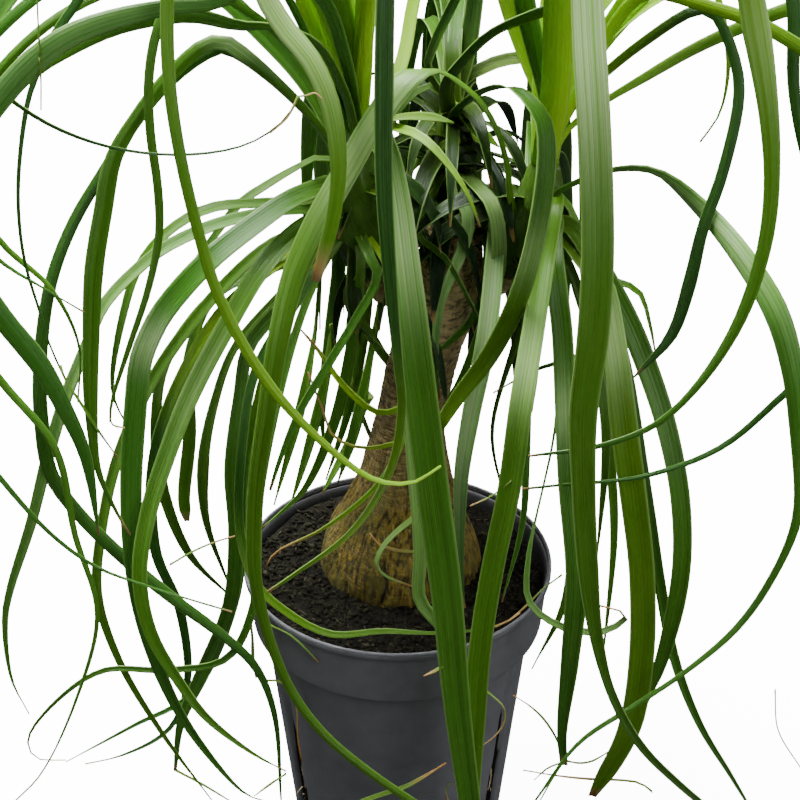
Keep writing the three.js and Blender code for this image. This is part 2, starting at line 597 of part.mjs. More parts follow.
function headRoutes(name, seed) {
  const random = seededRandom(seed);
  const head = heads[name];
  const routes = seenLeaves[name].map((leaf) => seenRoute(head, leaf));
  for (const plan of hiddenLeaves[name]) {
    for (let i = 0; i < plan.count; i += 1) {
      routes.push(hiddenRoute(head, plan, i, random));
    }
  }
  return routes;
}

function makeHead(name, seed) {
  let body = solid(tube(headCurve(heads[name]), coreRadii, 10));
  for (const route of headRoutes(name, seed)) {
    body = body.add(solid(makeBlade(route)));
  }
  const shells = body.simplify(finestEdge).decompose();
  return geometryOf(shells.reduce((most, each) => (each.volume() > most.volume() ? each : most)));
}

// Root that lies along the soil in a groove and shows through the slot
function makeRoot(angle) {
  const points = [];
  for (let height = slotBottom + 4; height <= slotTop - 4; height += 10) {
    const share = 1 - height / grooveTop;
    const side = mix(bodyFootRadius, bodyTopRadius, height / (potHeight - bandHeight));
    const floor = side - mix(grooveTopDepth, grooveDepth, share) - wall - seatGap;
    const reach = floor + rootRadius + seatGap;
    points.push(new THREE.Vector3(0.7 * Math.sin(height * 0.2), -reach, height));
  }
  return tube(new THREE.CatmullRomCurve3(points), rootRadii, 8).rotateZ(THREE.MathUtils.degToRad(angle));
}

const group = new THREE.Group();

function addPiece(name, geometry, color, roughness) {
  const material = new THREE.MeshStandardMaterial({ color, roughness, metalness: 0 });
  const mesh = new THREE.Mesh(geometry, material);
  mesh.name = name;
  group.add(mesh);
}

addPiece('pot', makePot(), 0x3a3b3f, 0.45);
addPiece('soil', makeSoil(), 0x2a211b, 0.95);
addPiece('trunk', makeTrunk(), 0x6f5a2c, 0.9);
addPiece('root_left', makeRoot(grooveAngles[0]), 0xb7a179, 0.7);
addPiece('root_right', makeRoot(grooveAngles[1]), 0xb7a179, 0.7);
Object.keys(heads).forEach((name, i) => {
  addPiece(heads[name].node, makeHead(name, 11 + 6 * i), heads[name].color, 0.4);
});

export default group;
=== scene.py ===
# Potted ponytail palm: the looks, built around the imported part. Tables are in mm, the scene in metres.
import math

import bmesh
import bpy
import numpy as np
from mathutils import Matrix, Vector, noise
from mathutils.bvhtree import BVHTree


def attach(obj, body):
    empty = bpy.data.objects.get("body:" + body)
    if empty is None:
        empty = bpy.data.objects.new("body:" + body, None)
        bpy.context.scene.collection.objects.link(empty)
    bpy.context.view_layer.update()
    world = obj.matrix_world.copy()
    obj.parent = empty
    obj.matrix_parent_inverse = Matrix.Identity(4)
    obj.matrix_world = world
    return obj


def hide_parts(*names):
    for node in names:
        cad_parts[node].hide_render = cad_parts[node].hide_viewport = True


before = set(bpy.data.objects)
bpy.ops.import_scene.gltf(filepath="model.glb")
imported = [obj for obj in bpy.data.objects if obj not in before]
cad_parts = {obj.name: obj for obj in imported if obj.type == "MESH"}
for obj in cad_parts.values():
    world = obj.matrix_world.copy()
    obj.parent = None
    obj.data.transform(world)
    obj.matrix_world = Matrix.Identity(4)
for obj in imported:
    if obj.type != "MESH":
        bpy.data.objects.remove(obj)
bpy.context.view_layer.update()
print("frame loaded", sorted(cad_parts))

# Camera, at the photograph's viewing angle
view = {
    "eye": np.array([1.5, -1051.7, 984.1]),   # mm
    "pitch": math.radians(31.7),              # looking down
    "focal": 2100.0,                          # pixels, in an 800 pixel square frame
    "middle": 400.0,
}
cameraData = bpy.data.cameras.new("camera")
cameraData.sensor_width = 36.0
cameraData.lens = view["focal"] / (2 * view["middle"]) * cameraData.sensor_width
cameraData.clip_end = 50.0
camera = bpy.data.objects.new("camera", cameraData)
camera.location = Vector(view["eye"] / 1000)
camera.rotation_euler = (math.pi / 2 - view["pitch"], 0, 0)
bpy.context.collection.objects.link(camera)
bpy.context.scene.camera = camera


# Small helpers for materials
def newMaterial(name):
    material = bpy.data.materials.new(name)
    material.use_nodes = True
    tree = material.node_tree
    return material, tree, tree.nodes["Principled BSDF"]


def feed(tree, node, inputs):
    # Links each output to its socket, and sets the plain values
    for key, value in inputs.items():
        if hasattr(value, "is_linked"):
            tree.links.new(value, node.inputs[key])
        else:
            node.inputs[key].default_value = value


def addNode(tree, kind, inputs=None, **settings):
    node = tree.nodes.new(kind)
    for key, value in settings.items():
        setattr(node, key, value)
    feed(tree, node, inputs or {})
    return node


def objectPlace(tree):
    return addNode(tree, "ShaderNodeTexCoord").outputs["Object"]


def attribute(tree, name, output="Fac"):
    return addNode(tree, "ShaderNodeAttribute", attribute_name=name).outputs[output]


def mathNode(tree, operation, first, second=0.0, clamp=False):
    return addNode(tree, "ShaderNodeMath", {0: first, 1: second},
                   operation=operation, use_clamp=clamp).outputs[0]


def times(tree, first, second, clamp=False):
    return mathNode(tree, "MULTIPLY", first, second, clamp)


def plus(tree, first, second, clamp=False):
    return mathNode(tree, "ADD", first, second, clamp)


def minus(tree, first, second):
    return mathNode(tree, "SUBTRACT", first, second)


def mixColor(tree, share, first, second):
    # Each colour is an output or a plain (red, green, blue)
    first, second = ((*side, 1) if isinstance(side, tuple) else side for side in (first, second))
    return addNode(tree, "ShaderNodeMix", {0: share, 6: first, 7: second}, data_type="RGBA").outputs[2]


def ramp(tree, value, stops):
    # Grey levels at places between 0 and 1
    node = addNode(tree, "ShaderNodeValToRGB", {0: value})
    elements = node.color_ramp.elements
    while len(elements) < len(stops):
        elements.new(0.5)
    for element, (place, level) in zip(elements, stops):
        element.position = place
        element.color = (level, level, level, 1)
    return node.outputs[0]


def newGroup(name, inputs, outputs):
    # An empty node group with named sockets, and its two ends
    group = bpy.data.node_groups.new(name, "ShaderNodeTree")
    for key, (kind, value) in inputs.items():
        socket = group.interface.new_socket(name=key, in_out="INPUT", socket_type="NodeSocket" + kind)
        if value is not None:
            socket.default_value = value
    for key, kind in outputs.items():
        group.interface.new_socket(name=key, in_out="OUTPUT", socket_type="NodeSocket" + kind)
    return group, addNode(group, "NodeGroupInput"), addNode(group, "NodeGroupOutput")


def placeGroup(tree, group, inputs):
    return addNode(tree, "ShaderNodeGroup", inputs, node_tree=group)


# Grain that every finish uses: a mask from two levels of noise, stretched to the material's own size
grain, grainIn, grainOut = newGroup("grain", {
    "Place": ("Vector", None), "Stretch": ("Vector", (1, 1, 1)), "Detail": ("Float", 3.0),
    "Low": ("Float", 0.35), "High": ("Float", 0.65)}, {"Mask": "Float"})
grainPlace = addNode(grain, "ShaderNodeMapping", {0: grainIn.outputs["Place"], 3: grainIn.outputs["Stretch"]})
grainCells = addNode(grain, "ShaderNodeTexNoise", {"Vector": grainPlace.outputs[0], "Scale": 1.0,
                                                   "Detail": grainIn.outputs["Detail"], "Roughness": 0.6})
grainLevels = addNode(grain, "ShaderNodeMapRange", {
    "Value": grainCells.outputs[0], "From Min": grainIn.outputs["Low"], "From Max": grainIn.outputs["High"]})
feed(grain, grainOut, {"Mask": grainLevels.outputs[0]})


def grainNode(tree, place, stretch, detail, low, high):
    inputs = {"Place": place, "Stretch": stretch, "Detail": detail, "Low": low, "High": high}
    return placeGroup(tree, grain, inputs).outputs["Mask"]


def bumpNode(tree, height, strength, distance):
    inputs = {"Height": height, "Strength": strength, "Distance": distance}
    return addNode(tree, "ShaderNodeBump", inputs).outputs[0]


# Small helpers for meshes
def finishPiece(name, mesh, material, node):
    data = bpy.data.meshes.new(name)
    mesh.to_mesh(data)
    mesh.free()
    for face in data.polygons:
        face.use_smooth = True
    piece = bpy.data.objects.new(name, data)
    bpy.context.collection.objects.link(piece)
    data.materials.append(material)
    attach(piece, "root")
    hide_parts(node)
    print(name, len(data.polygons), "faces")
    return piece


def giveWall(piece, thickness, offset):
    wall = piece.modifiers.new("wall", "SOLIDIFY")
    wall.thickness = thickness
    wall.offset = offset


def wrapGrid(mesh, around, up, placer):
    # A grid whose sides meet: placer turns angles and shares of the height into places in metres
    made = bmesh.ops.create_grid(mesh, x_segments=around, y_segments=up, size=1.0)["verts"]
    flat = np.array([vert.co[:2] for vert in made])
    places = placer(flat[:, 0] * math.pi, (flat[:, 1] + 1) / 2)
    for vert, place in zip(made, places):
        vert.co = place
    bmesh.ops.remove_doubles(mesh, verts=made, dist=1e-6)
    return [vert for vert in made if vert.is_valid]


def spinOutline(mesh, points, steps):
    # Points (radius, height) turned once round the upright axis
    outline = [mesh.verts.new((radius / 1000, 0, height / 1000)) for radius, height in points]
    edges = [mesh.edges.new(pair) for pair in zip(outline, outline[1:])]
    bmesh.ops.spin(mesh, geom=outline + edges, axis=(0, 0, 1), cent=(0, 0, 0), angle=2 * math.pi,
                   steps=steps, use_merge=True)
    bmesh.ops.remove_doubles(mesh, verts=mesh.verts, dist=1e-6)
    bmesh.ops.recalc_face_normals(mesh, faces=mesh.faces)


def smoothCurve(points, count):
    # Centripetal Catmull-Rom through the points, in even steps of length; works for any number of columns
    points = np.array(points, float)
    padded = np.vstack([2 * points[0] - points[1], points, 2 * points[-1] - points[-2]])
    gaps = np.maximum(np.linalg.norm(np.diff(padded[:, :3], axis=0), axis=1) ** 0.5, 1e-4)
    pieces = []
    share = np.linspace(0, 1, 24, endpoint=False)[:, None]
    for i in range(len(points) - 1):
        p0, p1, p2, p3 = padded[i:i + 4]
        d0, d1, d2 = gaps[i:i + 3]
        t1 = ((p1 - p0) / d0 - (p2 - p0) / (d0 + d1) + (p2 - p1) / d1) * d1
        t2 = ((p2 - p1) / d1 - (p3 - p1) / (d1 + d2) + (p3 - p2) / d2) * d1
        pieces.append(p1 + t1 * share + (3 * (p2 - p1) - 2 * t1 - t2) * share ** 2
                      + (2 * (p1 - p2) + t1 + t2) * share ** 3)
    dense = np.vstack([*pieces, points[-1:]])
    run = np.concatenate([[0], np.cumsum(np.linalg.norm(np.diff(dense[:, :3], axis=0), axis=1))])
    even = np.linspace(0, run[-1], count + 1)
    return np.column_stack([np.interp(even, run, column) for column in dense.T]), run[-1]


def unit(vectors):
    return vectors / np.maximum(np.linalg.norm(vectors, axis=-1, keepdims=True), 1e-9)


def tubePlaces(line, across, over, row, reach, turns):
    # Places on a round tube along a line, in metres
    sideways = across[row] * (reach * np.cos(turns))[:, None]
    return (line[row] + sideways + over[row] * (reach * np.sin(turns))[:, None]) / 1000


def parkMiller(seed):
    state = [seed]

    def draw():
        state[0] = (state[0] * 16807) % 2147483647
        return state[0] / 2147483647
    return draw


def mix(first, second, share):
    return first + (second - first) * share


def clip(value):
    return max(0.0, min(1.0, value))


# Leafy heads. The centre lines are laid out in the photograph's frame, as in the part's source:
# seat on the shoot, width, then points [x, y] in pixels with, here and there, a depth in mm
heads = {
    "left": {"axis": [[-14, 10, 416], [-25, 3, 457], [-21, 0, 514]], "node": "head_left", "seed": 11},
    "right": {"axis": [[62, 12, 418], [77, 4, 454], [82, 0, 490]], "node": "head_right", "seed": 17},
    "center": {"axis": [[34, 48, 431], [32, 51, 460], [31, 49, 494]], "node": "head_center", "seed": 23},
}
# Ways in which the leaves grow that no line gives: seats on the shoot, lengths in mm, slopes in degrees at
# the seat and at the end, and how soon they fall
plans = {
    "fan": {"seats": [0.1, 0.95], "length": [300, 390], "rise": [25, 80], "hang": -84, "fall": 0.6},
    "longFan": {"seats": [0.1, 0.95], "length": [300, 400], "rise": [25, 80], "hang": -84, "fall": 0.6},
    "upright": {"seats": [0.8, 0.95], "length": [250, 320], "rise": [78, 82], "hang": -30, "fall": 1.3},
    "inside": {"seats": [0.0, 0.6], "length": [70, 150], "rise": [-25, 40], "hang": -80, "fall": 0.8},
    "low": {"seats": [-0.35, 0.0], "length": [60, 120], "rise": [-60, -20], "hang": -86, "fall": 0.6},
    "tuft": {"seats": [0.0, 0.95], "length": [70, 125], "rise": [0, 65], "hang": -60, "fall": 1.0},
    "lowTuft": {"seats": [-0.4, 0.1], "length": [60, 120], "rise": [-50, 5], "hang": -80, "fall": 0.8},
}
# Each head's leaves behind it and inside it: plan, count, and between which angles, in degrees from the right
hiddenLeaves = {
    "left": [["fan", 8, [90, 102]], ["upright", 7, [112, 200]]],
    "right": [["fan", 8, [76, 90]], ["upright", 7, [-20, 68]]],
    "center": [["longFan", 12, [82, 98]]],
}
innerLeaves = {
    "left": [["inside", 11, [-40, 80]], ["low", 6, [-180, 180]]],
    "right": [["inside", 9, [110, 200]], ["low", 6, [-180, 180]]],
    "center": [["tuft", 13, [-145, -35]], ["tuft", 9, [35, 145]], ["lowTuft", 9, [10, 170]]],
}
core = {"radii": [12, 14, 13, 7], "around": 44, "up": 60, "ridge": 0.7}
blade = {
    "step": 8.0,              # mm between rows
    "across": 6,              # faces across
    "thickness": 0.0007,      # m
    "turnLength": 70.0,       # mm over which a blade turns its face to the front
    "quickTurn": 0.1,         # the same for a blade with turns in its looks
    "noTurn": 1e9,            # the same for a blade that never turns to the front
    "flare": [0.5, 0.07],     # how much wider at the seat, and over which share of the length
    "taperFrom": 0.45,        # share of the length
    "tip": 0.7,               # mm
    "fold": 0.13,             # depth of the channel, as a share of the width
    "seatFold": [1.6, 0.12],  # how much deeper at the seat, and over which share of the length
    "rippleLength": 23.0,     # mm
    "baseLength": 26.0,       # mm over which the base is paler
    "lowestSeat": 0.3,
    "highestSeat": 0.97,
    "hiddenWidth": [7, 12],   # mm
    "openDepth": -80,         # mm, for a strip that starts where no leaf shows
}
# How far the leaves of each kind roll, how often, their wavy edges and dried ends
growth = {
    "seen": {"roll": 14, "waves": 1.2, "ripple": 0.25, "dry": 0.012},
    "hidden": {"roll": 12, "waves": 0.8, "ripple": 0.25, "dry": 0.02},
    "inner": {"roll": 25, "waves": 0.7, "ripple": 0.25, "dry": 0.02, "youngBacklit": 0.0},
    "strips": {"roll": 10, "waves": 0.8, "ripple": 0.1, "youngBacklit": 0.1},
}
seenLeaves = {
    "left": [
        [0.9, 11, [[345, 60], [318, -5], [275, -25], [220, 3, -110], [160, 9], [80, 31], [40, 56],
          [10, 86, -130], [-25, 135], [-42, 190], [-38, 250], [0, 315, -135], [40, 365], [65, 410], [85, 455],
          [99, 535, -130]]],
        [0.8, 9, [[340, 85], [310, 40], [275, 28], [240, 27, -70], [190, 16], [120, 25], [60, 52], [30, 72],
          [0, 103, -95], [-30, 150], [-50, 215], [-60, 300], [-62, 380, -100]]],
        [0.95, 8, [[350, 40], [335, -60], [300, -110], [250, -90], [215, -25, -60], [200, 5],
          [187, 21, -70]]],
        [0.95, 7, [[345, 40], [310, -70], [240, -130], [160, -110], [105, -50, -80], [78, 0], [50, 42],
          [36, 76], [27, 105], [18, 190], [24, 258], [39, 310], [50, 345], [66, 381, -90]]],
        [0.9, 8, [[335, 50], [290, -60], [200, -110], [90, -90], [-5, -30], [-45, 30, -120], [-30, 68],
          [0, 92], [50, 125], [110, 147], [180, 155], [245, 145], [285, 119], [298, 97, -125]]],
        [0.85, 5, [[340, 60], [300, -20], [240, -50], [190, -30], [160, 22, -85], [149, 75], [150, 130],
          [158, 190], [159, 235], [148, 290], [128, 350], [111, 405], [110, 422, -90]]],
        [0.95, 6.5, [[345, 30], [310, -70], [250, -110], [195, -80], [170, -25, -130], [167, 30], [170, 90],
          [181, 160], [197, 227], [218, 295], [262, 375], [320, 440], [375, 480], [412, 483],
          [441, 466, -160]]],
        [0.25, 9, [[335, 155], [318, 127], [280, 86], [240, 52], [223, 42, -70], [205, 45], [165, 81],
          [135, 120], [113, 160], [103, 212], [94, 270], [91, 340], [91, 410], [98, 470], [118, 515],
          [130, 535, -90]]],
        [0.3, 8, [[322, 132], [285, 93], [242, 58], [223, 49, -60], [200, 58], [163, 88], [130, 130],
          [103, 172], [72, 225], [50, 285], [40, 360], [41, 420], [51, 475], [77, 512], [128, 562],
          [176, 601], [222, 635], [255, 666], [274, 712], [281, 800, -70]]],
        [0.95, 11, [[345, 20], [318, -60], [285, -85], [262, -55], [262, -15, -110], [283, 25], [311, 60],
          [330, 103], [339, 160], [334, 215], [316, 281, -125]]],
        [0.6, 11, [[332, 130], [305, 82], [262, 33], [205, -18], [120, -60, 60], [50, -40], [-10, 30],
          [-40, 120], [-50, 230, 60]]],
        [0.99, 15, [[343, 90], [325, 40], [308, 0], [292, -60], [262, -150], [225, -215, -30]]],
        [0.97, 12, [[350, 80], [343, 30], [333, -20], [318, -110], [285, -240, 10]]],
        [1, 12, [[356, 70], [358, 20], [361, -40], [372, -130], [392, -210, 40]]],
        [0.98, 8, [[362, 80], [367, 30], [372, -30], [388, -110], [410, -165, 60]]],
        [0.9, 8, [[372, 115], [390, 92], [404, 55], [413, 5], [428, -60], [455, -110, 80]]],
        [0.3, 7.5, [[335, 208], [311, 211], [268, 213], [215, 225], [165, 248], [145, 263, -45], [106, 303],
          [85, 350], [65, 400], [47, 460], [32, 520], [10, 590], [5, 620], [12, 680], [29, 714, -75]]],
        [0.35, 6, [[338, 190], [315, 200], [260, 203], [210, 208], [170, 230], [140, 265], [122, 320],
          [112, 380], [115, 402], [126, 423, -50]]],
        [0.4, 5, [[340, 165], [318, 158], [298, 167], [265, 186], [240, 203], [215, 235], [186, 275],
          [172, 302, -10]]],
        [0.4, 12.5, [[342, 185], [319, 190], [295, 198], [250, 228], [205, 264], [163, 312], [149, 338],
          [141, 360, -70], [135, 415], [131, 490], [135, 570], [148, 635], [172, 698], [205, 750], [246, 794],
          [265, 801, -95]]],
        [0.2, 10.5, [[335, 215], [304, 226], [262, 268], [230, 320], [190, 396, -75], [167, 455], [149, 512],
          [140, 575], [150, 630], [176, 677], [206, 717], [252, 753], [286, 771, -110]]],
        [0.1, 8, [[325, 245], [290, 262], [225, 288], [190, 322], [163, 370], [156, 430], [163, 490],
          [190, 555], [231, 597, -20]]],
        [0.1, 8, [[320, 240], [270, 262], [235, 280], [210, 302], [189, 360], [190, 430], [184, 500],
          [187, 521, -10]]],
        [0.1, 7, [[322, 255], [285, 290], [236, 346], [215, 402], [204, 460], [206, 520], [232, 592, 0]]],
        [0.05, 8, [[325, 260], [290, 300], [250, 345], [240, 400], [232, 470], [236, 530], [230, 605],
          [203, 672], [181, 722], [175, 771, -40]]],
        [0.1, 5.5, [[328, 255], [298, 300], [256, 370], [243, 440], [240, 530, -70], [255, 582], [285, 611],
          [330, 634], [384, 631], [440, 633], [500, 625, -100], [520, 613]]],
        [0, 8, [[336, 250, 14], [322, 272], [315, 340], [303, 400], [281, 480], [274, 505, 30]]],
        [0, 8, [[340, 246, 24], [338, 275], [330, 340], [322, 415], [325, 455, 40]]],
        [0.05, 7, [[362, 255, -16], [352, 345], [335, 420], [304, 490], [284, 510], [262, 528, 0]]],
        [0, 8, [[366, 250, 32], [366, 300, 42], [360, 350], [348, 412], [326, 480, 50]]],
        [0.1, 5, [[372, 262], [378, 275, -30], [355, 320], [328, 365], [300, 411], [279, 462],
          [270, 490, -60]]],
        [0.1, 4, [[385, 262], [396, 310], [408, 400, -60], [378, 412], [345, 387], [315, 346],
          [301, 330, -40]]],
        [0.1, 3.5, [[390, 270], [402, 330], [414, 430, -60], [365, 448], [333, 436], [323, 410],
          [308, 372, -50]]],
        [0.95, 10, [[362, 60], [366, -20], [372, -90], [381, -115], [385, -70, -110], [384, 60], [384, 180],
          [390, 275], [399, 370], [402, 405], [391, 468], [352, 531], [295, 574], [268, 592, -150]]],
        [0.9, 12.5, [[364, 70], [370, 0], [378, -55], [386, -60], [384, -10, -88], [385, 110], [399, 220],
          [412, 330], [423, 415], [434, 500], [447, 598], [457, 705], [470, 805], [478, 860, -135]]],
        [0.5, 7.5, [[378, 150], [392, 200, -50], [402, 330], [413, 450], [420, 550], [420, 600],
          [440, 625, -95]]],
        [0.4, 4, [[385, 200], [398, 290, -50], [405, 425], [383, 478], [326, 527], [275, 553],
          [266, 567, -70]]],
        [0.9, 6.5, [[375, 122], [397, 128], [418, 135], [438, 152], [466, 191], [480, 226, -60]]],
        [0.05, 5, [[330, 255], [300, 320], [262, 480], [252, 612, -62], [224, 660], [165, 670], [105, 670],
          [60, 698], [28, 740], [36, 758], [66, 760, -60]]],
        [0, 6, [[322, 262], [280, 330], [245, 470], [235, 600], [190, 695, -35], [135, 725], [66, 762, -45]]],
        [0.1, 7, [[330, 235], [270, 270], [215, 320], [158, 440], [155, 548], [180, 610], [187, 685],
          [168, 730], [120, 756], [85, 764, -35]]],
        [0.15, 7, [[330, 225], [270, 245], [175, 345], [122, 446], [101, 535], [98, 595], [119, 660],
          [160, 730], [214, 803, -50]]],
        [0.9, 5, [[330, 60], [270, -70], [170, -140], [60, -120], [-30, -40], [-75, 80], [-80, 200],
          [-50, 310], [0, 380], [55, 448], [75, 535], [97, 612], [78, 695], [40, 775], [15, 801, -100]]],
        [0.9, 5, [[325, 75], [255, -50], [150, -115], [40, -90], [-50, 0], [-100, 120], [-110, 260],
          [-75, 380], [0, 478], [50, 533], [95, 566], [150, 587], [232, 612, -120]]],
        [0.6, 6, [[330, 90], [265, 0], [180, -50], [80, -30], [-10, 40], [-60, 130], [-55, 200], [0, 261],
          [45, 289], [84, 312, -90]]],
        [0.6, 5, [[328, 100], [260, 20], [170, -20], [70, 10], [-15, 90], [-40, 170], [0, 241], [52, 290],
          [79, 346], [78, 402, -70]]],
    ],
    "right": [
        [0.9, 15, [[556, 90], [560, 0], [566, -80], [575, -110], [582, -70, -120], [589, 50], [595, 150],
          [597, 262], [592, 340], [583, 412], [583, 480], [588, 570], [597, 640], [613, 697], [641, 746],
          [680, 785], [725, 822, -170]]],
        [0.2, 11.5, [[553, 215], [552, 240], [556, 280], [562, 330, -60], [565, 400], [568, 480], [576, 580],
          [570, 660], [562, 735], [564, 765, -105]]],
        [0.35, 10.5, [[560, 192], [583, 181], [612, 171], [656, 173], [700, 208, -60], [745, 261], [776, 312],
          [793, 370, -115], [800, 440], [797, 520], [771, 580], [735, 630], [685, 672], [634, 706],
          [580, 742], [535, 801, -120]]],
        [0.95, 9.5, [[565, 90], [590, -10], [630, -90], [685, -115], [732, -70, -110], [757, 35], [771, 140],
          [770, 212], [759, 268], [735, 330], [695, 389], [655, 425], [600, 446], [528, 456, -125]]],
        [0.7, 6.5, [[570, 112], [590, 88], [640, 45], [697, 10], [713, 13], [734, 57], [739, 95], [722, 175],
          [703, 228], [689, 285], [671, 336], [634, 377, -75]]],
        [0.75, 8, [[565, 135], [585, 116], [640, 82], [700, 47], [768, 17], [800, 6], [850, -5], [900, 15],
          [935, 75], [950, 160], [945, 260], [925, 370, -60]]],
        [0.9, 7.5, [[575, 100], [605, 40], [645, -5], [705, 6], [775, 32], [845, 90, -80], [880, 220],
          [835, 345], [780, 398], [720, 448], [645, 476], [560, 485], [522, 489, -85]]],
        [0.95, 8, [[570, 90], [600, -30], [660, -110], [725, -120], [775, -70], [793, 0, -60], [794, 90],
          [812, 180], [865, 300, -60]]],
        [0.9, 4, [[575, 95], [615, 20], [665, -30], [705, -25], [728, 50], [720, 112], [700, 142, -40]]],
        [0.2, 4.5, [[568, 240], [590, 270], [612, 280], [638, 291], [650, 325], [656, 357, -40]]],
        [0.25, 9.5, [[568, 225], [592, 255], [626, 316, -45], [648, 370], [667, 430], [680, 500], [681, 570],
          [667, 642], [646, 704, -80]]],
        [0.15, 13, [[562, 235], [585, 262], [602, 285], [614, 345, -60], [623, 420], [634, 500], [642, 575],
          [641, 660], [628, 730], [592, 796, -100]]],
        [0.1, 6, [[560, 250], [580, 300], [597, 350], [607, 430], [614, 530], [603, 659, -40]]],
        [0.15, 6, [[560, 250], [585, 310], [600, 380], [606, 440], [597, 560, -50]]],
        [0.15, 7, [[570, 235], [600, 290], [622, 350], [646, 490], [659, 578], [675, 660], [700, 725],
          [731, 776], [770, 840, -60]]],
        [0.3, 12, [[553, 195], [551, 215], [546, 245, -45], [533, 330], [521, 405], [510, 485, -115],
          [493, 568], [480, 650], [473, 750], [470, 830, -125]]],
        [0.1, 8, [[552, 235], [560, 300], [574, 460], [566, 597], [532, 669, -70]]],
        [0.05, 14, [[512, 200], [508, 165], [497, 128], [480, 100], [458, 81, -30], [432, 70], [408, 78],
          [370, 128], [352, 160, -70], [320, 217], [295, 272], [280, 330], [270, 390, -115], [255, 500],
          [257, 590], [287, 683], [322, 732], [368, 771], [440, 820, -120]]],
        [1, 15, [[548, 110], [551, 50], [556, -10], [566, -90], [582, -160, 20]]],
        [0.97, 14, [[553, 105], [568, 55], [583, 10], [612, -70], [650, -150, 10]]],
        [0.94, 11, [[545, 110], [528, 60], [508, 0], [490, -70], [480, -150, 30]]],
        [0.92, 7, [[560, 115], [585, 75], [605, 45], [640, 5], [690, -60], [745, -110, -10]]],
        [0.96, 8, [[555, 120], [575, 95], [600, 40], [625, 0], [665, -70], [720, -130], [770, -150, 40]]],
        [0.98, 8, [[546, 105], [535, 50], [524, 0], [515, -80], [512, -170, -20]]],
        [0.1, 8, [[552, 195], [565, 202], [581, 248], [592, 340], [590, 400], [588, 460, -10]]],
        [0.1, 4, [[568, 230], [590, 280], [598, 330], [585, 352], [535, 370], [493, 393, -30]]],
        [0.3, 7, [[540, 262, 40], [520, 330], [492, 430], [502, 490], [510, 520, 40]]],
        [0.2, 2.5, [[545, 250], [553, 330], [556, 420], [528, 560], [530, 603], [563, 627], [604, 631],
          [627, 615], [594, 604, -100]]],
        [0.1, 5, [[530, 270], [528, 340], [526, 460], [523, 520], [502, 602, -60]]],
    ],
    "center": [
        [0.9, 11.5, [[456, 112], [466, 103], [480, 93, -5], [517, 90], [541, 118, -50], [546, 150],
          [538, 222], [519, 295, -75], [489, 356], [458, 397], [438, 428, -70]]],
        [0.4, 11, [[472, 196], [484, 187], [494, 187, 14], [494, 255, -16], [486, 340, -50], [471, 415],
          [461, 480], [461, 570], [465, 608, -70]]],
        [0.3, 9, [[476, 186], [492, 205, -18], [499, 250], [490, 305, -15], [458, 383], [440, 407, -25]]],
        [0.3, 7, [[462, 200], [469, 220, -5], [460, 256], [441, 300], [435, 368], [439, 398, -30]]],
        [0.4, 3.5, [[432, 196], [416, 232, -5], [445, 258], [467, 296], [490, 343, -25]]],
        [0.9, 8, [[455, 95], [464, 62], [471, 30], [476, -5], [486, -70], [505, -140, 90]]],
        [0.9, 5.5, [[446, 100], [428, 68], [434, 45], [460, -10], [485, -60], [520, -100, 60]]],
        [0.85, 5, [[448, 85], [465, 60], [496, 32], [530, 17, -30], [570, 2], [620, -30], [680, -50, -40]]],
        [0.5, 9, [[438, 125], [422, 145], [404, 200], [400, 240], [396, 290, 50]]],
        [0.6, 5, [[445, 100], [430, 86], [397, 113], [378, 180], [372, 290, 58]]],
        [0.4, 5, [[440, 192], [424, 193], [408, 205], [398, 250], [396, 300, 50]]],
        [0.5, 4, [[462, 160], [474, 175], [488, 190], [503, 201, 34]]],
        [0.7, 8, [[460, 85], [480, 70], [505, 60], [540, 60], [575, 90], [600, 140], [610, 200, 99]]],
        [0.3, 7, [[478, 200], [489, 240], [486, 285, -5], [470, 322], [438, 352], [424, 370, -20]]],
    ],
}
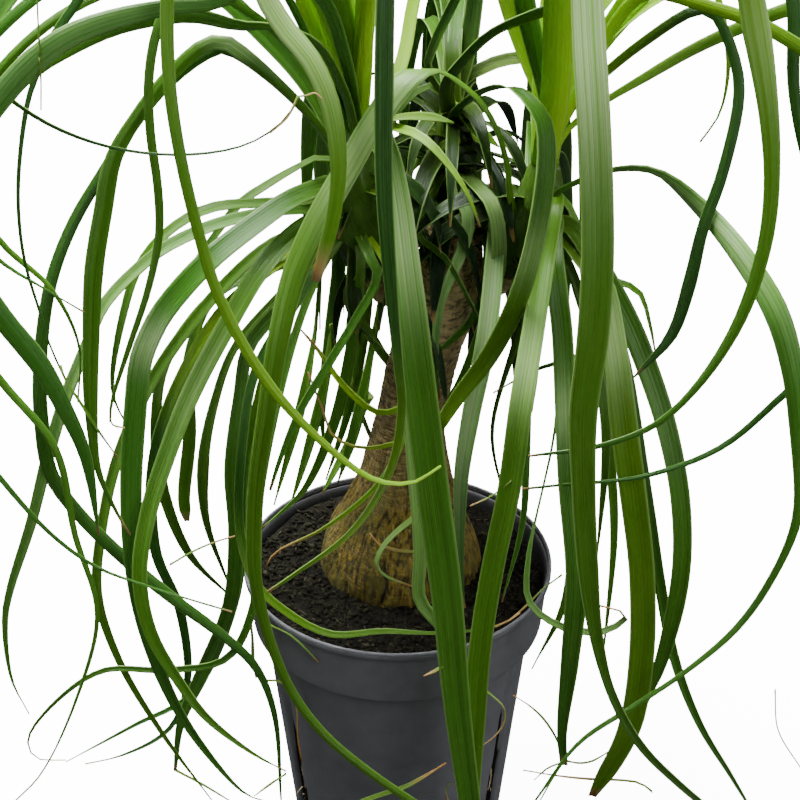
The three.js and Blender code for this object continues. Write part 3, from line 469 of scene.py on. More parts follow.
# How single leaves of that list look, by head and place in it. Some carry a painted highlight, a near-white
# sheen
# painted into the colour: how strong, at which share of the length and over how much of it. New growth is
# yellow-green with painted backlight, widths are in mm and turns away from the camera in degrees, all three
# by share of the length.
leafLooks = {
    "left": {
        0: {"tone": 0.8, "highlight": [0.25, 0.45, 0.1],
            "widths": [[0, 9], [0.3, 7], [0.36, 7.5], [0.42, 10], [0.5, 12], [0.7, 11], [0.8, 11.5],
                       [0.87, 8.5], [0.93, 6], [1, 0.7]]},
        2: {"youngBacklit": [[0, 1], [0.3, 0.7], [0.5, 0]]},
        3: {"youngBacklit": [[0, 1], [0.3, 0.7], [0.5, 0]],
            "widths": [[0, 7], [0.5, 5.5], [0.6, 4.5], [0.68, 3], [0.8, 2], [1, 0.8]]},
        4: {"dry": 0.05, "youngBacklit": [[0, 1], [0.3, 0.6], [0.5, 0]],
            "widths": [[0, 8], [0.5, 6], [0.62, 4.2], [0.7, 2.4], [0.8, 1.5], [1, 0.7]]},
        5: {"youngBacklit": [[0, 0.9], [0.3, 0.4], [0.5, 0.1]],
            "widths": [[0, 5], [0.45, 5], [0.7, 4.5], [0.9, 3], [1, 1]]},
        6: {"tone": 0.7, "dry": 0, "youngBacklit": [[0, 0.8], [0.2, 0.3], [0.6, 0.12], [0.75, 0.3], [1, 0.5]],
            "widths": [[0, 6], [0.4, 6.5], [0.8, 5.5], [0.92, 3], [1, 1]]},
        7: {"dry": 0.04, "tone": 0.5, "highlight": [1.0, 0.33, 0.02],
            "widths": [[0, 6], [0.26, 6.5], [0.33, 8], [0.37, 7], [0.47, 7], [0.55, 9.5], [0.65, 10],
                       [0.8, 8], [0.9, 4], [1, 1]]},
        8: {"tone": 0.4,
            "widths": [[0, 6], [0.35, 6], [0.45, 7.5], [0.6, 8.5], [0.75, 7], [0.85, 5], [1, 1]]},
        9: {"dry": 0.06, "youngBacklit": 0.18, "highlight": [1.1, 0.6, 0.13],
            "widths": [[0, 10], [0.5, 10.5], [0.65, 10.5], [0.77, 10], [0.87, 8], [0.95, 7.5], [1, 4]]},
        11: {"youngBacklit": 1.0, "widths": [[0, 15], [0.3, 18], [1, 8]]},
        12: {"youngBacklit": 1.0, "widths": [[0, 14], [0.3, 17], [1, 7]]},
        13: {"youngBacklit": 0.9, "widths": [[0, 12], [0.3, 15], [1, 7]]}, 14: {"youngBacklit": 0.9}, 15: {"youngBacklit": 0.5},
        16: {"tone": 0.9, "highlight": [0.4, 0.45, 0.25]}, 17: {"tone": 0.7},
        18: {"tone": 0.9, "highlight": [0.3, 0.4, 0.2]},
        19: {"tone": 0.7, "highlight": [0.85, 0.325, 0.03]}, 20: {"tone": 0.7, "highlight": [0.5, 0.33, 0.08]},
        21: {"tone": 0.1, "widths": [[0, 7], [0.5, 6], [0.7, 7.5], [0.85, 6], [1, 0.7]]},
        22: {"tone": 0.3, "widths": [[0, 8], [0.5, 7], [0.85, 8], [0.97, 7], [1, 3]]},
        23: {"tone": 0.1,
             "widths": [[0, 6], [0.3, 5], [0.5, 6], [0.68, 8.5], [0.8, 5], [0.9, 2.5], [1, 0.7]]},
        24: {"tone": 0.3, "widths": [[0, 8], [0.5, 9.5], [0.8, 9], [1, 2]]},
        25: {"tone": 0.35, "dry": 0.09, "youngBacklit": [[0, 0], [0.45, 0], [0.6, 0.17], [1, 0.12]],
             "widths": [[0, 6], [0.6, 5], [0.7, 4.2], [0.8, 3.2], [0.87, 1.8], [0.93, 1.2], [1, 0.8]]},
        30: {"tone": 0.9, "widths": [[0, 7], [0.25, 5], [0.7, 4.5], [1, 1.5]]},
        31: {"youngBacklit": 0.75, "dry": 0.14, "widths": [[0, 4], [0.6, 4], [0.75, 4.6], [0.9, 2.5], [1, 0.7]]},
        32: {"youngBacklit": 0.7, "dry": 0.42, "widths": [[0, 3], [0.55, 3.4], [0.68, 2.6], [0.75, 1.6], [1, 0.7]]},
        33: {"tone": 0.1, "youngBacklit": [[0, 0.8], [0.22, 0.7], [0.34, 0], [0.7, 0], [0.8, 0.15], [1, 0.2]],
             "widths": [[0, 9], [0.5, 9.4], [0.6, 8], [0.65, 7.2], [0.7, 5.5], [0.75, 4.6], [0.82, 4.3],
                        [0.9, 3], [1, 1.5]]},
        34: {"tone": 0.45, "highlight": [1.1, 0.44, 0.05],
             "youngBacklit": [[0, 0.8], [0.17, 0.6], [0.23, 0.05], [1, 0.05]],
             "turn": [[0, 0], [0.2, 60], [0.36, 60], [0.385, 0], [1, 0]],
             "widths": [[0, 10], [0.3, 9], [0.375, 11], [0.42, 15], [0.5, 17.5], [0.7, 17.5], [0.8, 16],
                        [0.9, 13.5], [1, 11]]},
        35: {"tone": 0.8, "dry": 0, "highlight": [0.5, 0.8, 0.3], "widths": [[0, 7], [0.7, 8.5], [1, 7]]},
        36: {"dry": 0.2, "youngBacklit": 0.4},
        37: {"youngBacklit": 0.35, "tone": 0.6, "widths": [[0, 6], [0.3, 6], [0.55, 4.5], [0.75, 3], [1, 0.8]]},
        39: {"youngBacklit": [[0, 0.8], [0.4, 0]]}, 40: {"youngBacklit": [[0, 0.8], [0.4, 0]]},
    },
    "right": {
        0: {"tone": 0.25, "youngBacklit": [[0, 0.85], [0.25, 0.5], [0.32, 0.1], [1, 0.05]],
            "highlight": [1.6, 0.355, 0.08],
            "widths": [[0, 15], [0.31, 16.5], [0.5, 17], [0.58, 17], [0.63, 15.5], [0.68, 13], [0.75, 11],
                       [0.79, 8], [0.84, 5], [0.9, 5], [1, 3.5]]},
        1: {"tone": 0.28, "highlight": [0.5, 0.38, 0.05],
            "widths": [[0, 11], [0.3, 11.5], [0.55, 12.5], [0.7, 12.5], [0.82, 10], [0.93, 6], [1, 4.5]]},
        2: {"dry": 0, "tone": 0.8, "highlight": [0.5, 0.24, 0.1],
            "widths": [[0, 9], [0.13, 7], [0.2, 12], [0.35, 13], [0.46, 11.5], [0.55, 7], [0.62, 5],
                       [0.71, 4], [0.78, 3], [0.88, 3], [1, 1]]},
        3: {"dry": 0.01, "tone": 0.7, "youngBacklit": [[0, 1], [0.3, 0.6], [0.45, 0.3], [0.6, 0.15], [1, 0]],
            "highlight": [0.4, 0.52, 0.06],
            "widths": [[0, 9], [0.4, 11], [0.52, 13.5], [0.58, 10], [0.63, 8], [0.75, 7], [0.85, 4],
                       [0.94, 3], [1, 1]]},
        4: {"tone": 0.1, "youngBacklit": [[0, 0.7], [0.25, 0.2], [0.4, 0]],
            "widths": [[0, 6], [0.45, 5.5], [0.6, 6], [0.75, 6.5], [0.83, 7.5], [0.92, 6], [1, 1]]},
        5: {"tone": 1.0, "highlight": [0.35, 0.2, 0.12], "youngBacklit": [[0, 0.9], [0.15, 0.4], [0.4, 0.2]]},
        6: {"tone": 0.5, "dry": 0.01, "youngBacklit": [[0, 0.9], [0.25, 0.5], [0.45, 0]],
            "widths": [[0, 7], [0.35, 7], [0.6, 6], [0.74, 4], [0.85, 3], [1, 1]]},
        7: {"youngBacklit": [[0, 1], [0.3, 0.7], [0.5, 0]]},
        8: {"tone": 1.0, "youngBacklit": [[0, 1], [0.4, 0.6], [1, 0.3]]},
        9: {"dry": 0.1},
        10: {"tone": 0.35, "widths": [[0, 10], [0.3, 12.5], [0.6, 12.5], [0.8, 10.5], [0.93, 7], [1, 2]]},
        11: {"tone": 0.1, "highlight": [0.7, 0.24, 0.07],
             "widths": [[0, 12], [0.2, 13], [0.35, 15.5], [0.6, 14.5], [0.85, 15], [0.95, 12], [1, 5]]},
        15: {"tone": 0.5, "highlight": [0.7, 0.31, 0.05],
             "widths": [[0, 11], [0.3, 12.5], [0.8, 12.5], [0.95, 10], [1, 9]]},
        17: {"tone": 0.42, "highlight": [0.55, 0.3, 0.06],
             "turn": [[0, 40], [0.04, 70], [0.215, 76], [0.24, 5], [1, 0]],
             "widths": [[0, 9], [0.12, 7.5], [0.215, 7.5], [0.24, 14], [0.3, 13], [0.38, 14], [0.45, 11.5],
                        [0.55, 9.5], [0.66, 8], [0.74, 6], [0.8, 5.2], [1, 4.5]]},
        18: {"youngBacklit": 0.9, "widths": [[0, 15], [0.3, 19], [1, 8]]},
        19: {"youngBacklit": 1.0, "widths": [[0, 14], [0.3, 18], [1, 8]]},
        20: {"youngBacklit": 0.3}, 21: {"youngBacklit": 0.7}, 22: {"youngBacklit": 0.8},
        23: {"tone": 0.3, "youngBacklit": 0.0, "widths": [[0, 9], [0.3, 13], [1, 8]]},
        26: {"tone": 0, "widths": [[0, 7], [0.4, 6], [0.6, 3], [1, 0.7]]},
        27: {"dry": 0.1, "highlight": [0.4, 0.8, 0.2],
             "widths": [[0, 3], [0.25, 1.2], [0.55, 1.2], [0.64, 3], [0.8, 4.2], [0.93, 3.5], [1, 2]]},
    },
    "center": {
        0: {"tone": 0.5, "youngBacklit": [[0, 0], [0.6, 0.05], [1, 0.22]], "dry": 0, "highlight": [0.4, 0.63, 0.05],
            "widths": [[0, 7], [0.2, 7], [0.33, 9], [0.45, 13], [0.7, 12.5], [0.85, 10], [1, 6.5]]},
        1: {"tone": 0.7, "highlight": [0.75, 0.5, 0.3]}, 2: {"tone": 0.5, "highlight": [0.4, 0.4, 0.2]},
        3: {"tone": 1.0, "highlight": [0.7, 0.5, 0.35], "widths": [[0, 7], [0.4, 7], [0.7, 5.5], [1, 2]]},
        5: {"tone": 0.0, "youngBacklit": 0, "widths": [[0, 9], [0.3, 12], [1, 5]]}, 6: {"tone": 0.1, "youngBacklit": 0},
        7: {"tone": 0.0, "widths": [[0, 9], [0.5, 9], [1, 3]]}, 12: {"tone": 0.0},
    },
}
# Thin strips: torn margins, dried tips and curled ends, laid out in the same frame. Each starts on the leaf
# that shows at its first point, or at the depth given there: width, share that has dried, strength of its
# painted highlight, line
strips = {
    "left": [
        [1.2, 0.3, 0.0, [[40, 57], [41, 80], [41, 110]]],
        [1.2, 0.0, 0.0, [[40, 55], [38, 20], [37, -8]]],
        [1.6, 1.0, 0.0, [[298, 97, -125], [293, 108], [285, 120], [270, 133]]],
        [1.2, 1.0, 0.0, [[297, 97, -125], [308, 95], [315, 93], [322, 99]]],
        [1.8, 0.2, 0.0, [[60, 366, -90], [66, 381], [80, 402], [98, 430], [118, 458]]],
        [1.4, 0.6, 0.0, [[110, 418, -90], [113, 425], [125, 428]]],
        [1.4, 0.5, 0.2, [[170, 565], [190, 553], [215, 542], [235, 536]]],
        [3.4, 0.1, 0.6, [[250, 612, -60], [252, 640], [253, 660], [256, 678]]],
        [1.3, 1.0, 0.0, [[256, 676, -60], [262, 680], [280, 681], [290, 690], [296, 705], [298, 740],
                         [302, 762]]],
        [1.2, 0.2, 0.2, [[270, 625], [290, 635], [305, 648], [318, 662]]],
        [2.0, 0.9, 0.0, [[434, 553, -75], [415, 552], [395, 550], [378, 543], [370, 533]]],
        [5.5, 0.25, 0.5, [[418, 517, -78], [400, 530], [385, 545], [378, 558], [377, 565], [382, 573],
                          [395, 580], [415, 587]]],
        [2.2, 0.9, 0.0, [[443, 666], [435, 671], [424, 676]]],
        [3.0, 0.5, 0.0, [[350, 806, -115], [380, 795], [405, 787], [425, 776], [446, 763]]],
        [1.3, 0.9, 0.2, [[449, 784], [446, 792], [451, 806]]],
        [1.8, 0.4, 0.0, [[175, 770], [200, 783], [232, 802]]],
        [1.6, 0.6, 0.0, [[286, 774], [272, 783], [254, 796]]],
        [5.5, 0.0, 0.1, [[372, 262, -12], [353, 278], [346, 298], [356, 322], [372, 338], [390, 356]]],
        [8.0, 0.0, 0.2, [[350, 298, 22], [361, 322], [378, 348], [398, 378]]],
        [10.0, 0.02, 0.0, [[384, 296, 30], [375, 340], [364, 395], [352, 440], [338, 482]]],
        [5.0, 0.0, 0.0, [[350, 380, 42], [359, 408], [371, 438], [386, 464]]],
        [9.0, 0.05, 0.0, [[371, 396, 45], [357, 428], [341, 460], [322, 494]]],
        [8.0, 0.02, 0.0, [[334, 320, 30], [327, 375], [315, 425], [302, 470], [290, 506]]],
    ],
    "right": [
        [1.3, 1.0, 0.3, [[487, 692], [496, 699], [504, 708], [504, 722], [495, 736], [480, 747]]],
        [1.2, 0.8, 0.3, [[562, 575], [543, 589], [527, 605], [513, 617], [499, 626]]],
        [1.6, 0.3, 0.2, [[564, 761, -100], [556, 738], [543, 718], [530, 706], [513, 695]]],
        [1.3, 0.3, 0.2, [[566, 761, -100], [580, 763], [592, 761], [614, 748]]],
        [1.1, 0.5, 0.2, [[563, 762, -100], [548, 768], [534, 780]]],
        [1.2, 0.2, 0.1, [[562, 764, -100], [552, 780], [538, 804]]],
        [1.5, 1.0, 0.0, [[652, 792, -90], [640, 783], [620, 780], [590, 779], [560, 776], [523, 770]]],
        [1.0, 0.5, 0.1, [[512, 480], [493, 495], [470, 506]]],
        [1.2, 0.3, 0.2, [[775, 690], [778, 730], [802, 770]]],
    ],
    "center": [
        [7.5, 0.0, 0.0, [[372, 128, -20], [388, 121], [400, 118], [425, 117], [440, 119], [454, 123]]],
        [9.0, 0.0, 0.2, [[452, 106, 40], [462, 110], [474, 117], [487, 129]]],
        [10.0, 0.0, 0.0, [[455, 113, 36], [470, 126], [485, 136], [499, 147]]],
        [7.0, 0.0, 0.0, [[472, 185, 44], [463, 197], [450, 199], [431, 196], [410, 204]]],
        [7.5, 0.0, 0.0, [[466, 130, 46], [480, 148], [497, 172], [507, 204]]],
        [9.0, 0.0, 0.0, [[460, 140, 30], [438, 150], [415, 166], [400, 186]]],
    ],
}


def fromFrame(px, py, depth):
    right = (px - view["middle"]) / view["focal"]
    up = (view["middle"] - py) / view["focal"]
    cos, sin = math.cos(view["pitch"]), math.sin(view["pitch"])
    ray = np.array([right, cos + up * sin, up * cos - sin])
    return view["eye"] + ray * (depth - view["eye"][1]) / ray[1]


def toFrame(point):
    ray = point - view["eye"]
    cos, sin = math.cos(view["pitch"]), math.sin(view["pitch"])
    far = ray[1] * cos - ray[2] * sin
    up = ray[1] * sin + ray[2] * cos
    return view["middle"] + view["focal"] * ray[0] / far, view["middle"] - view["focal"] * up / far


def withDepths(line, startDepth, startFrame):
    # Depths between the points that give one, eased by the distance run in the frame
    run = [0.0]
    last = startFrame
    for point in line:
        run.append(run[-1] + math.hypot(point[0] - last[0], point[1] - last[1]))
        last = point
    known = [(0.0, startDepth)] + [(run[i + 1], point[2]) for i, point in enumerate(line) if len(point) == 3]
    places = []
    for i, point in enumerate(line):
        after = next((k for k, (distance, _) in enumerate(known) if distance >= run[i + 1]), 0)
        if after < 1:
            places.append(fromFrame(point[0], point[1], known[-1][1]))
            continue
        (d0, y0), (d1, y1) = known[after - 1], known[after]
        share = math.sin((run[i + 1] - d0) / (d1 - d0) * math.pi / 2)
        places.append(fromFrame(point[0], point[1], mix(y0, y1, share)))
    return places


def seatPoint(name, seat):
    line, _ = smoothCurve(heads[name]["axis"], 400)
    return line[round(400 * mix(blade["lowestSeat"], blade["highestSeat"], seat))]


def plannedRoute(name, plan, count, angles, index, draw):
    share = (index + 0.5) / count
    order = (index * 5) % count
    angle = math.radians(mix(*angles, (order + 0.3 + 0.4 * draw()) / count))
    length = mix(*plan["length"], draw())
    rise = mix(*plan["rise"], share) + 6 * (draw() - 0.5)
    sway = math.radians(10 * (draw() - 0.5))
    steps = 9
    points = [seatPoint(name, mix(*plan["seats"], share))]
    for step in range(steps):
        slope = math.radians(mix(rise, plan["hang"], min(1, (step / (steps - 2)) ** plan["fall"])))
        heading = angle + sway * step / steps
        move = np.array([math.cos(heading) * math.cos(slope), math.sin(heading) * math.cos(slope),
                         math.sin(slope)])
        points.append(points[-1] + move * length / steps)
    return points, mix(*blade["hiddenWidth"], draw())


def profile(value, share):
    # A table of [share, value] read at the shares, or one value for all of them
    return (np.interp(share, *np.transpose(value)) if isinstance(value, list)
            else np.full(len(share), float(value)))


def bladeFrame(points, turnLength):
    # Rows along a blade: its places, its directions and the unit vector across its face
    _, length = smoothCurve(points, 4)
    rows = max(12, round(length / blade["step"]))
    place, _ = smoothCurve(points, rows)
    along = unit(np.gradient(place, axis=0))
    far = place[int(rows * 0.7)] - place[0]
    across = np.cross([0, 0, 1], unit(np.array([far[0], far[1], 0.0])))
    front = np.array([0, -math.cos(view["pitch"]), math.sin(view["pitch"])])
    turn = 1 - math.exp(-length / rows / turnLength)
    sides = []
    for row in range(rows + 1):
        target = np.cross(front, along[row])
        if target @ across < 0:
            target = -target
        if row or turn > 0.9:
            across = across * (1 - turn) + target * turn
        across = across - along[row] * (across @ along[row])
        across = across / np.linalg.norm(across)
        sides.append(across)
    return place, along, np.array(sides), length


def addBlade(mesh, layers, points, width, turnLength, looks):
    turnLength = blade["quickTurn"] if "turn" in looks else turnLength
    place, along, across, length = bladeFrame(points, turnLength)
    rows = len(place) - 1
    share = np.linspace(0, 1, rows + 1)
    flare, flareEnd = blade["flare"]
    taper = 1 - (np.maximum(0, share - blade["taperFrom"]) / (1 - blade["taperFrom"])) ** 2
    wide = np.maximum(min(blade["tip"], width * 0.5),
                      width * (1 + flare * np.maximum(0, 1 - share / flareEnd)) * taper)
    if "widths" in looks:
        wide = profile(looks["widths"], share)
    # Painted highlight: its strength, where along the leaf it sits and how far it spreads
    sheen, centre, spread = looks.get("highlight", [0, 0, 1])
    highlight = sheen * np.exp(-((share - centre) / spread) ** 2)
    chance = looks["chance"]
    roll = (looks["roll"] * np.sin(share * looks["waves"] * 2 * math.pi + chance * 6.28)
            * np.minimum(1, share * 4))
    if "turn" in looks:
        roll = profile(looks["turn"], share)
    roll = np.radians(roll)[:, None]
    turned = across * np.cos(roll) + np.cross(along, across) * np.sin(roll)
    upper = np.cross(along, turned)
    deeper, deepEnd = blade["seatFold"]
    fold = blade["fold"] * (1 + deeper * np.exp(-share / deepEnd)) * (0.75 + 0.5 * chance)
    made = bmesh.ops.create_grid(mesh, x_segments=blade["across"], y_segments=rows, size=1.0)["verts"]
    flat = np.array([vert.co[:2] for vert in made])
    row = np.rint((flat[:, 1] + 1) / 2 * rows).astype(int)
    out = flat[:, 0]
    wave = np.sin(share[row] * length / blade["rippleLength"] + 5 * chance + 1.5 * np.sign(out))
    lift = (np.abs(out) ** 1.3 - 0.4) * fold[row] * wide[row] + looks["ripple"] * wave * out ** 2
    places = (place[row] + turned[row] * (out * wide[row] / 2)[:, None] + upper[row] * lift[:, None]) / 1000
    youngBacklit = profile(looks["youngBacklit"], share)
    for vert, spot, side, portion, highlightPaint, backlitFresh in zip(made, places, out, share[row], highlight[row], youngBacklit[row]):
        vert.co = spot
        vert[layers["place"]] = (side, portion * length / 1000 + 3.1 * chance, chance)
        vert[layers["tone"]] = looks.get("tone", chance)
        vert[layers["highlight"]] = highlightPaint
        vert[layers["youngBacklit"]] = backlitFresh
        vert[layers["dry"]] = clip((portion - 1 + looks["dry"]) / max(looks["dry"], 0.001) * 1.6 - 0.2)
        vert[layers["base"]] = math.exp(-portion * length / blade["baseLength"])


def addCore(mesh, layers, name):
    # The shoot inside a head, wrapped in the overlapping bases of its leaves
    line, _ = smoothCurve(heads[name]["axis"], core["up"])
    way = unit(np.gradient(line, axis=0))
    across = unit(np.cross([0.0, 1.0, 0.0], way))
    over = np.cross(way, across)

    def place(turns, shares):
        row = np.rint(shares * core["up"]).astype(int)
        reach = np.interp(shares, np.linspace(0, 1, len(core["radii"])), core["radii"])
        reach = reach * np.minimum(1, np.minimum(shares, 1 - shares) * 30) ** 0.5
        reach = reach + core["ridge"] * np.sin(7 * turns + 24 * shares) * (shares > 0) * (shares < 1)
        return tubePlaces(line, across, over, row, reach, turns)
    for vert in wrapGrid(mesh, core["around"], core["up"], place):
        vert[layers["place"]] = (0.8 * math.sin(3.5 * math.atan2(vert.co.y, vert.co.x)), vert.co.z * 4, 0.3)
        vert[layers["tone"]] = 0.2
        vert[layers["base"]] = 0.5


def addStrips(mesh, layers, name, luck):
    # Each strip hangs on the leaf that covers its first point in the photograph's frame
    met = BVHTree.FromBMesh(mesh)
    for width, dry, sheen, line in strips[name]:
        first = line[0]
        ray = Vector(fromFrame(first[0], first[1], 0) - view["eye"])
        hit = met.ray_cast(Vector(view["eye"]) / 1000, ray)[0]
        depth = first[2] if len(first) == 3 else hit.y * 1000 if hit else blade["openDepth"]
        points = [fromFrame(x, y, depth) for x, y, *_ in line]
        looks = {**growth["strips"], "chance": luck(), "dry": dry, "highlight": [sheen, 0.5, 0.6]}
        addBlade(mesh, layers, points, width, blade["turnLength"], looks)


def makeHead(name, material):
    head = heads[name]
    draw = parkMiller(head["seed"])
    luck = parkMiller(head["seed"] + 400)
    mesh = bmesh.new()
    floats = mesh.verts.layers.float
    layers = {key: floats.new("blade" + key.capitalize()) for key in ("tone", "youngBacklit", "dry", "base", "highlight")}
    layers["place"] = mesh.verts.layers.float_vector.new("bladePlace")
    for index, (seat, width, line) in enumerate(seenLeaves[name]):
        root = seatPoint(name, seat)
        points = [root, *withDepths(line, root[1], toFrame(root))]
        looks = {**growth["seen"], "chance": luck(), "youngBacklit": 0.12 * luck(), **leafLooks[name].get(index, {})}
        addBlade(mesh, layers, points, width, blade["turnLength"], looks)
    for kind, count, angles in hiddenLeaves[name]:
        for index in range(count):
            points, width = plannedRoute(name, plans[kind], count, angles, index, draw)
            youngBacklit = 0.5 if kind == "upright" else 0.1 * luck()
            looks = {**growth["hidden"], "chance": luck(), "youngBacklit": youngBacklit}
            addBlade(mesh, layers, points, width, blade["noTurn"], looks)
    for kind, count, angles in innerLeaves[name]:
        for index in range(count):
            points, width = plannedRoute(name, plans[kind], count, angles, index, luck)
            # A tone below nought is painted shade: it darkens the leaves inside the crown
            looks = {**growth["inner"], "chance": luck(), "tone": -0.9 * luck()}
            addBlade(mesh, layers, points, width, blade["noTurn"], looks)
    addCore(mesh, layers, name)
    addStrips(mesh, layers, name, luck)
    bmesh.ops.recalc_face_normals(mesh, faces=mesh.faces)
    piece = finishPiece(name + "_leaves", mesh, material, head["node"])
    giveWall(piece, blade["thickness"], 0.0)


# Leaf finish, shared by the three heads: parallel ribs, paler margins, new growth with painted backlight,
# painted highlights, sheen patches and dried parts
leafFinish = {
    "left": [(0.0042, 0.026, 0.0025), (0.021, 0.120, 0.0055), (0.100, 0.350, 0.035)],   # deep, middle and lit
    "right": [(0.0036, 0.024, 0.0022), (0.018, 0.104, 0.0045), (0.092, 0.320, 0.030)],
    # painted shade: the centre head, inside the crown, has darker greens than the other two
    "center": [(0.0016, 0.011, 0.0015), (0.009, 0.060, 0.0050), (0.050, 0.200, 0.025)],
    # yellow-green of new growth, made brighter as painted backlight
    "youngBacklit": [(0.46, 0.82, 0.0), (0.16, 0.40, 0.0)],
    "sheen": (0.13, 0.24, 0.05),
    "highlightPaint": [(0.22, 0.56, 0.09), (0.88, 0.98, 0.62)],
    "margin": (0.28, 0.46, 0.12),
    "base": (0.17, 0.26, 0.03),
    "straw": [(0.50, 0.22, 0.04), (0.62, 0.47, 0.22), (0.22, 0.11, 0.04)],
    "shine": {"left": 1.46, "right": 1.46, "center": 1.28},
    "seeThrough": 0.2,
    "seeThroughColor": (0.5, 1.0, 0.15),
    "seeThroughDepth": 0.0015,   # m
}
leafGroup, leafIn, leafOut = newGroup("leaf surface", {
    "Deep": ("Color", (0, 0, 0, 1)), "Middle": ("Color", (0, 0, 0, 1)), "Lit": ("Color", (0, 0, 0, 1))},
    {"Color": "Color", "Roughness": "Float", "Height": "Float"})


def leafSurface(tree):
    finish = leafFinish
    place = attribute(tree, "bladePlace", "Vector")
    tone, highlight, backlitYouth, base, dry = (attribute(tree, "blade" + key)
                                    for key in ("Tone", "Highlight", "Youngbacklit", "Base", "Dry"))
    side = mathNode(tree, "ABSOLUTE", addNode(tree, "ShaderNodeSeparateXYZ", {0: place}).outputs[0])
    ribs = grainNode(tree, place, (7.0, 2.0, 7.0), 2.0, 0.34, 0.66)
    fine = grainNode(tree, place, (24.0, 4.0, 7.0), 2.0, 0.3, 0.7)
    patches = grainNode(tree, place, (0.7, 16.0, 5.0), 3.0, 0.38, 0.64)
    sheen = grainNode(tree, place, (1.5, 30.0, 9.0), 4.0, 0.45, 0.72)
    shade = plus(tree, times(tree, tone, 0.75), times(tree, patches, 0.25))
    green = mixColor(tree, shade, leafIn.outputs["Deep"], leafIn.outputs["Middle"])
    ribShade = times(tree, plus(tree, ribs, fine), plus(tree, tone, 0.25))
    green = mixColor(tree, times(tree, ribShade, 0.32), green, leafIn.outputs["Lit"])
    unshaded = plus(tree, tone, 1.0, True)   # painted shade: the inner leaves, inside the crown, have a tone below nought and stay dark
    # Whitish grey-green patches: partly a wax coat on the leaves, partly painted sheen
    green = mixColor(tree, times(tree, times(tree, sheen, unshaded), 0.12), green, finish["sheen"])
    # Painted highlight: a near-white sheen painted along each leaf where its highlight falls
    highlightPaint = mixColor(tree, times(tree, ribs, 0.7), *finish["highlightPaint"])
    green = mixColor(tree, times(tree, highlight, 0.75, True), green, highlightPaint)
    # New growth turns yellow-green; its brightness is partly painted backlight
    green = mixColor(tree, backlitYouth, green, mixColor(tree, times(tree, fine, 0.25), *finish["youngBacklit"]))
    margin = times(tree, unshaded, ramp(tree, side, [(0.84, 0), (1.0, 0.5)]))
    green = mixColor(tree, margin, green, finish["margin"])
    green = mixColor(tree, times(tree, base, times(tree, unshaded, 0.5)), green, finish["base"])
    straw = mixColor(tree, patches, finish["straw"][0], finish["straw"][1])
    straw = mixColor(tree, times(tree, fine, 0.5), straw, finish["straw"][2])
    rough = plus(tree, times(tree, fine, 0.16), times(tree, patches, 0.1))
    feed(tree, leafOut, {
        "Color": mixColor(tree, dry, green, straw),
        "Roughness": plus(tree, plus(tree, rough, 0.19), times(tree, dry, 0.35)),
        "Height": plus(tree, times(tree, ribs, 0.6), times(tree, fine, 0.4))})


leafSurface(leafGroup)


def leafMaterial(head):
    material, tree, shader = newMaterial("leaf " + head)
    deep, middle, lit = ((*color, 1) for color in leafFinish[head])
    surface = placeGroup(tree, leafGroup, {"Deep": deep, "Middle": middle, "Lit": lit}).outputs
    feed(tree, shader, {
        "Base Color": surface["Color"], "Roughness": surface["Roughness"],
        "Normal": bumpNode(tree, surface["Height"], 0.55, 0.0006),
        "IOR": leafFinish["shine"][head], "Subsurface Weight": leafFinish["seeThrough"],
        "Subsurface Radius": leafFinish["seeThroughColor"],
        "Subsurface Scale": leafFinish["seeThroughDepth"]})
    return material


for headName in heads:
    makeHead(headName, leafMaterial(headName))


# Trunk: the swollen base, the leaning stem with its sawn top, and the stumps of the side shoots
trunk = {
    "rings": [
        [2, 18, 150, 30], [2, 18, 168, 43], [2, 18, 188, 49], [2, 18, 205, 50], [2, 18, 222, 47.4],
        [3, 18, 245, 37.5], [5, 18, 270, 28], [6.5, 19, 300, 21.5], [10.5, 20, 325, 20.5],
        [16, 20, 355, 20.5],
        [25, 20, 385, 19.5], [29, 20, 410, 18.5], [31, 20, 432, 16.5], [32, 20, 443, 13.5],
    ],                    # centre x, centre y, height, radius
    "around": 220,
    "up": 300,
    "sideShare": 0.94,    # the rest of the rows make the sawn top
    "swollenTop": 318,    # below it the wrinkles give way to fissures, over 60 mm
    "shootFrom": {"left": [29, 20, 386], "right": [32, 20, 398], "center": [33, 24, 404]},
    "shootRadii": [8, 9, 10, 11, 11],
    "shootBend": 18,
    "shootShare": 0.92,
    "fissureDepth": 1.5,  # mm
    "wrinkleDepth": 0.8,
    "crack": {"turn": -1.78, "width": 0.035, "low": 205, "high": 238, "depth": 1.5},   # the long one in front
    "gold": [(0.026, 0.016, 0.003), (0.32, 0.225, 0.028)],
    "fleck": (0.62, 0.50, 0.14),
    "olive": (0.080, 0.088, 0.012),
    "tan": [(0.15, 0.11, 0.032), (0.60, 0.46, 0.20)],
    "neck": (0.075, 0.046, 0.016),
    "litTop": (0.84, 0.66, 0.33),
    "crevice": (0.020, 0.011, 0.004),
    "sawn": (0.045, 0.037, 0.036),
}


def barkDepth(height, turn, swollen):
    # How far the bark sinks at a place: upright fissures on the base, level wrinkles on the stem
    x, y = math.cos(turn), math.sin(turn)

    def cells(stretch, rise, right=0.0, up=0.0):
        return noise.noise(Vector((x * stretch + right, y * stretch, height / rise + up)))
    cleft = max(0.0, 1 - abs(cells(7, 36)) / 0.11)
    cleft = max(cleft, 0.55 * max(0.0, 1 - abs(cells(19, 17, up=7)) / 0.13))
    crack = trunk["crack"]
    split = max(0.0, 1 - abs(turn - crack["turn"] + 0.03 * math.sin(height / 4)) / crack["width"])
    ends = clip(min((height - crack["low"]) / 4, (crack["high"] - height) / 8))
    cleft = max(cleft, crack["depth"] * split * ends)
    wave = cells(1.4, 3.1, right=9) + 0.6 * cells(4, 1.7, right=9)
    return swollen * cleft, (1 - swollen) * max(0.0, 1 - abs(wave) / 0.25)


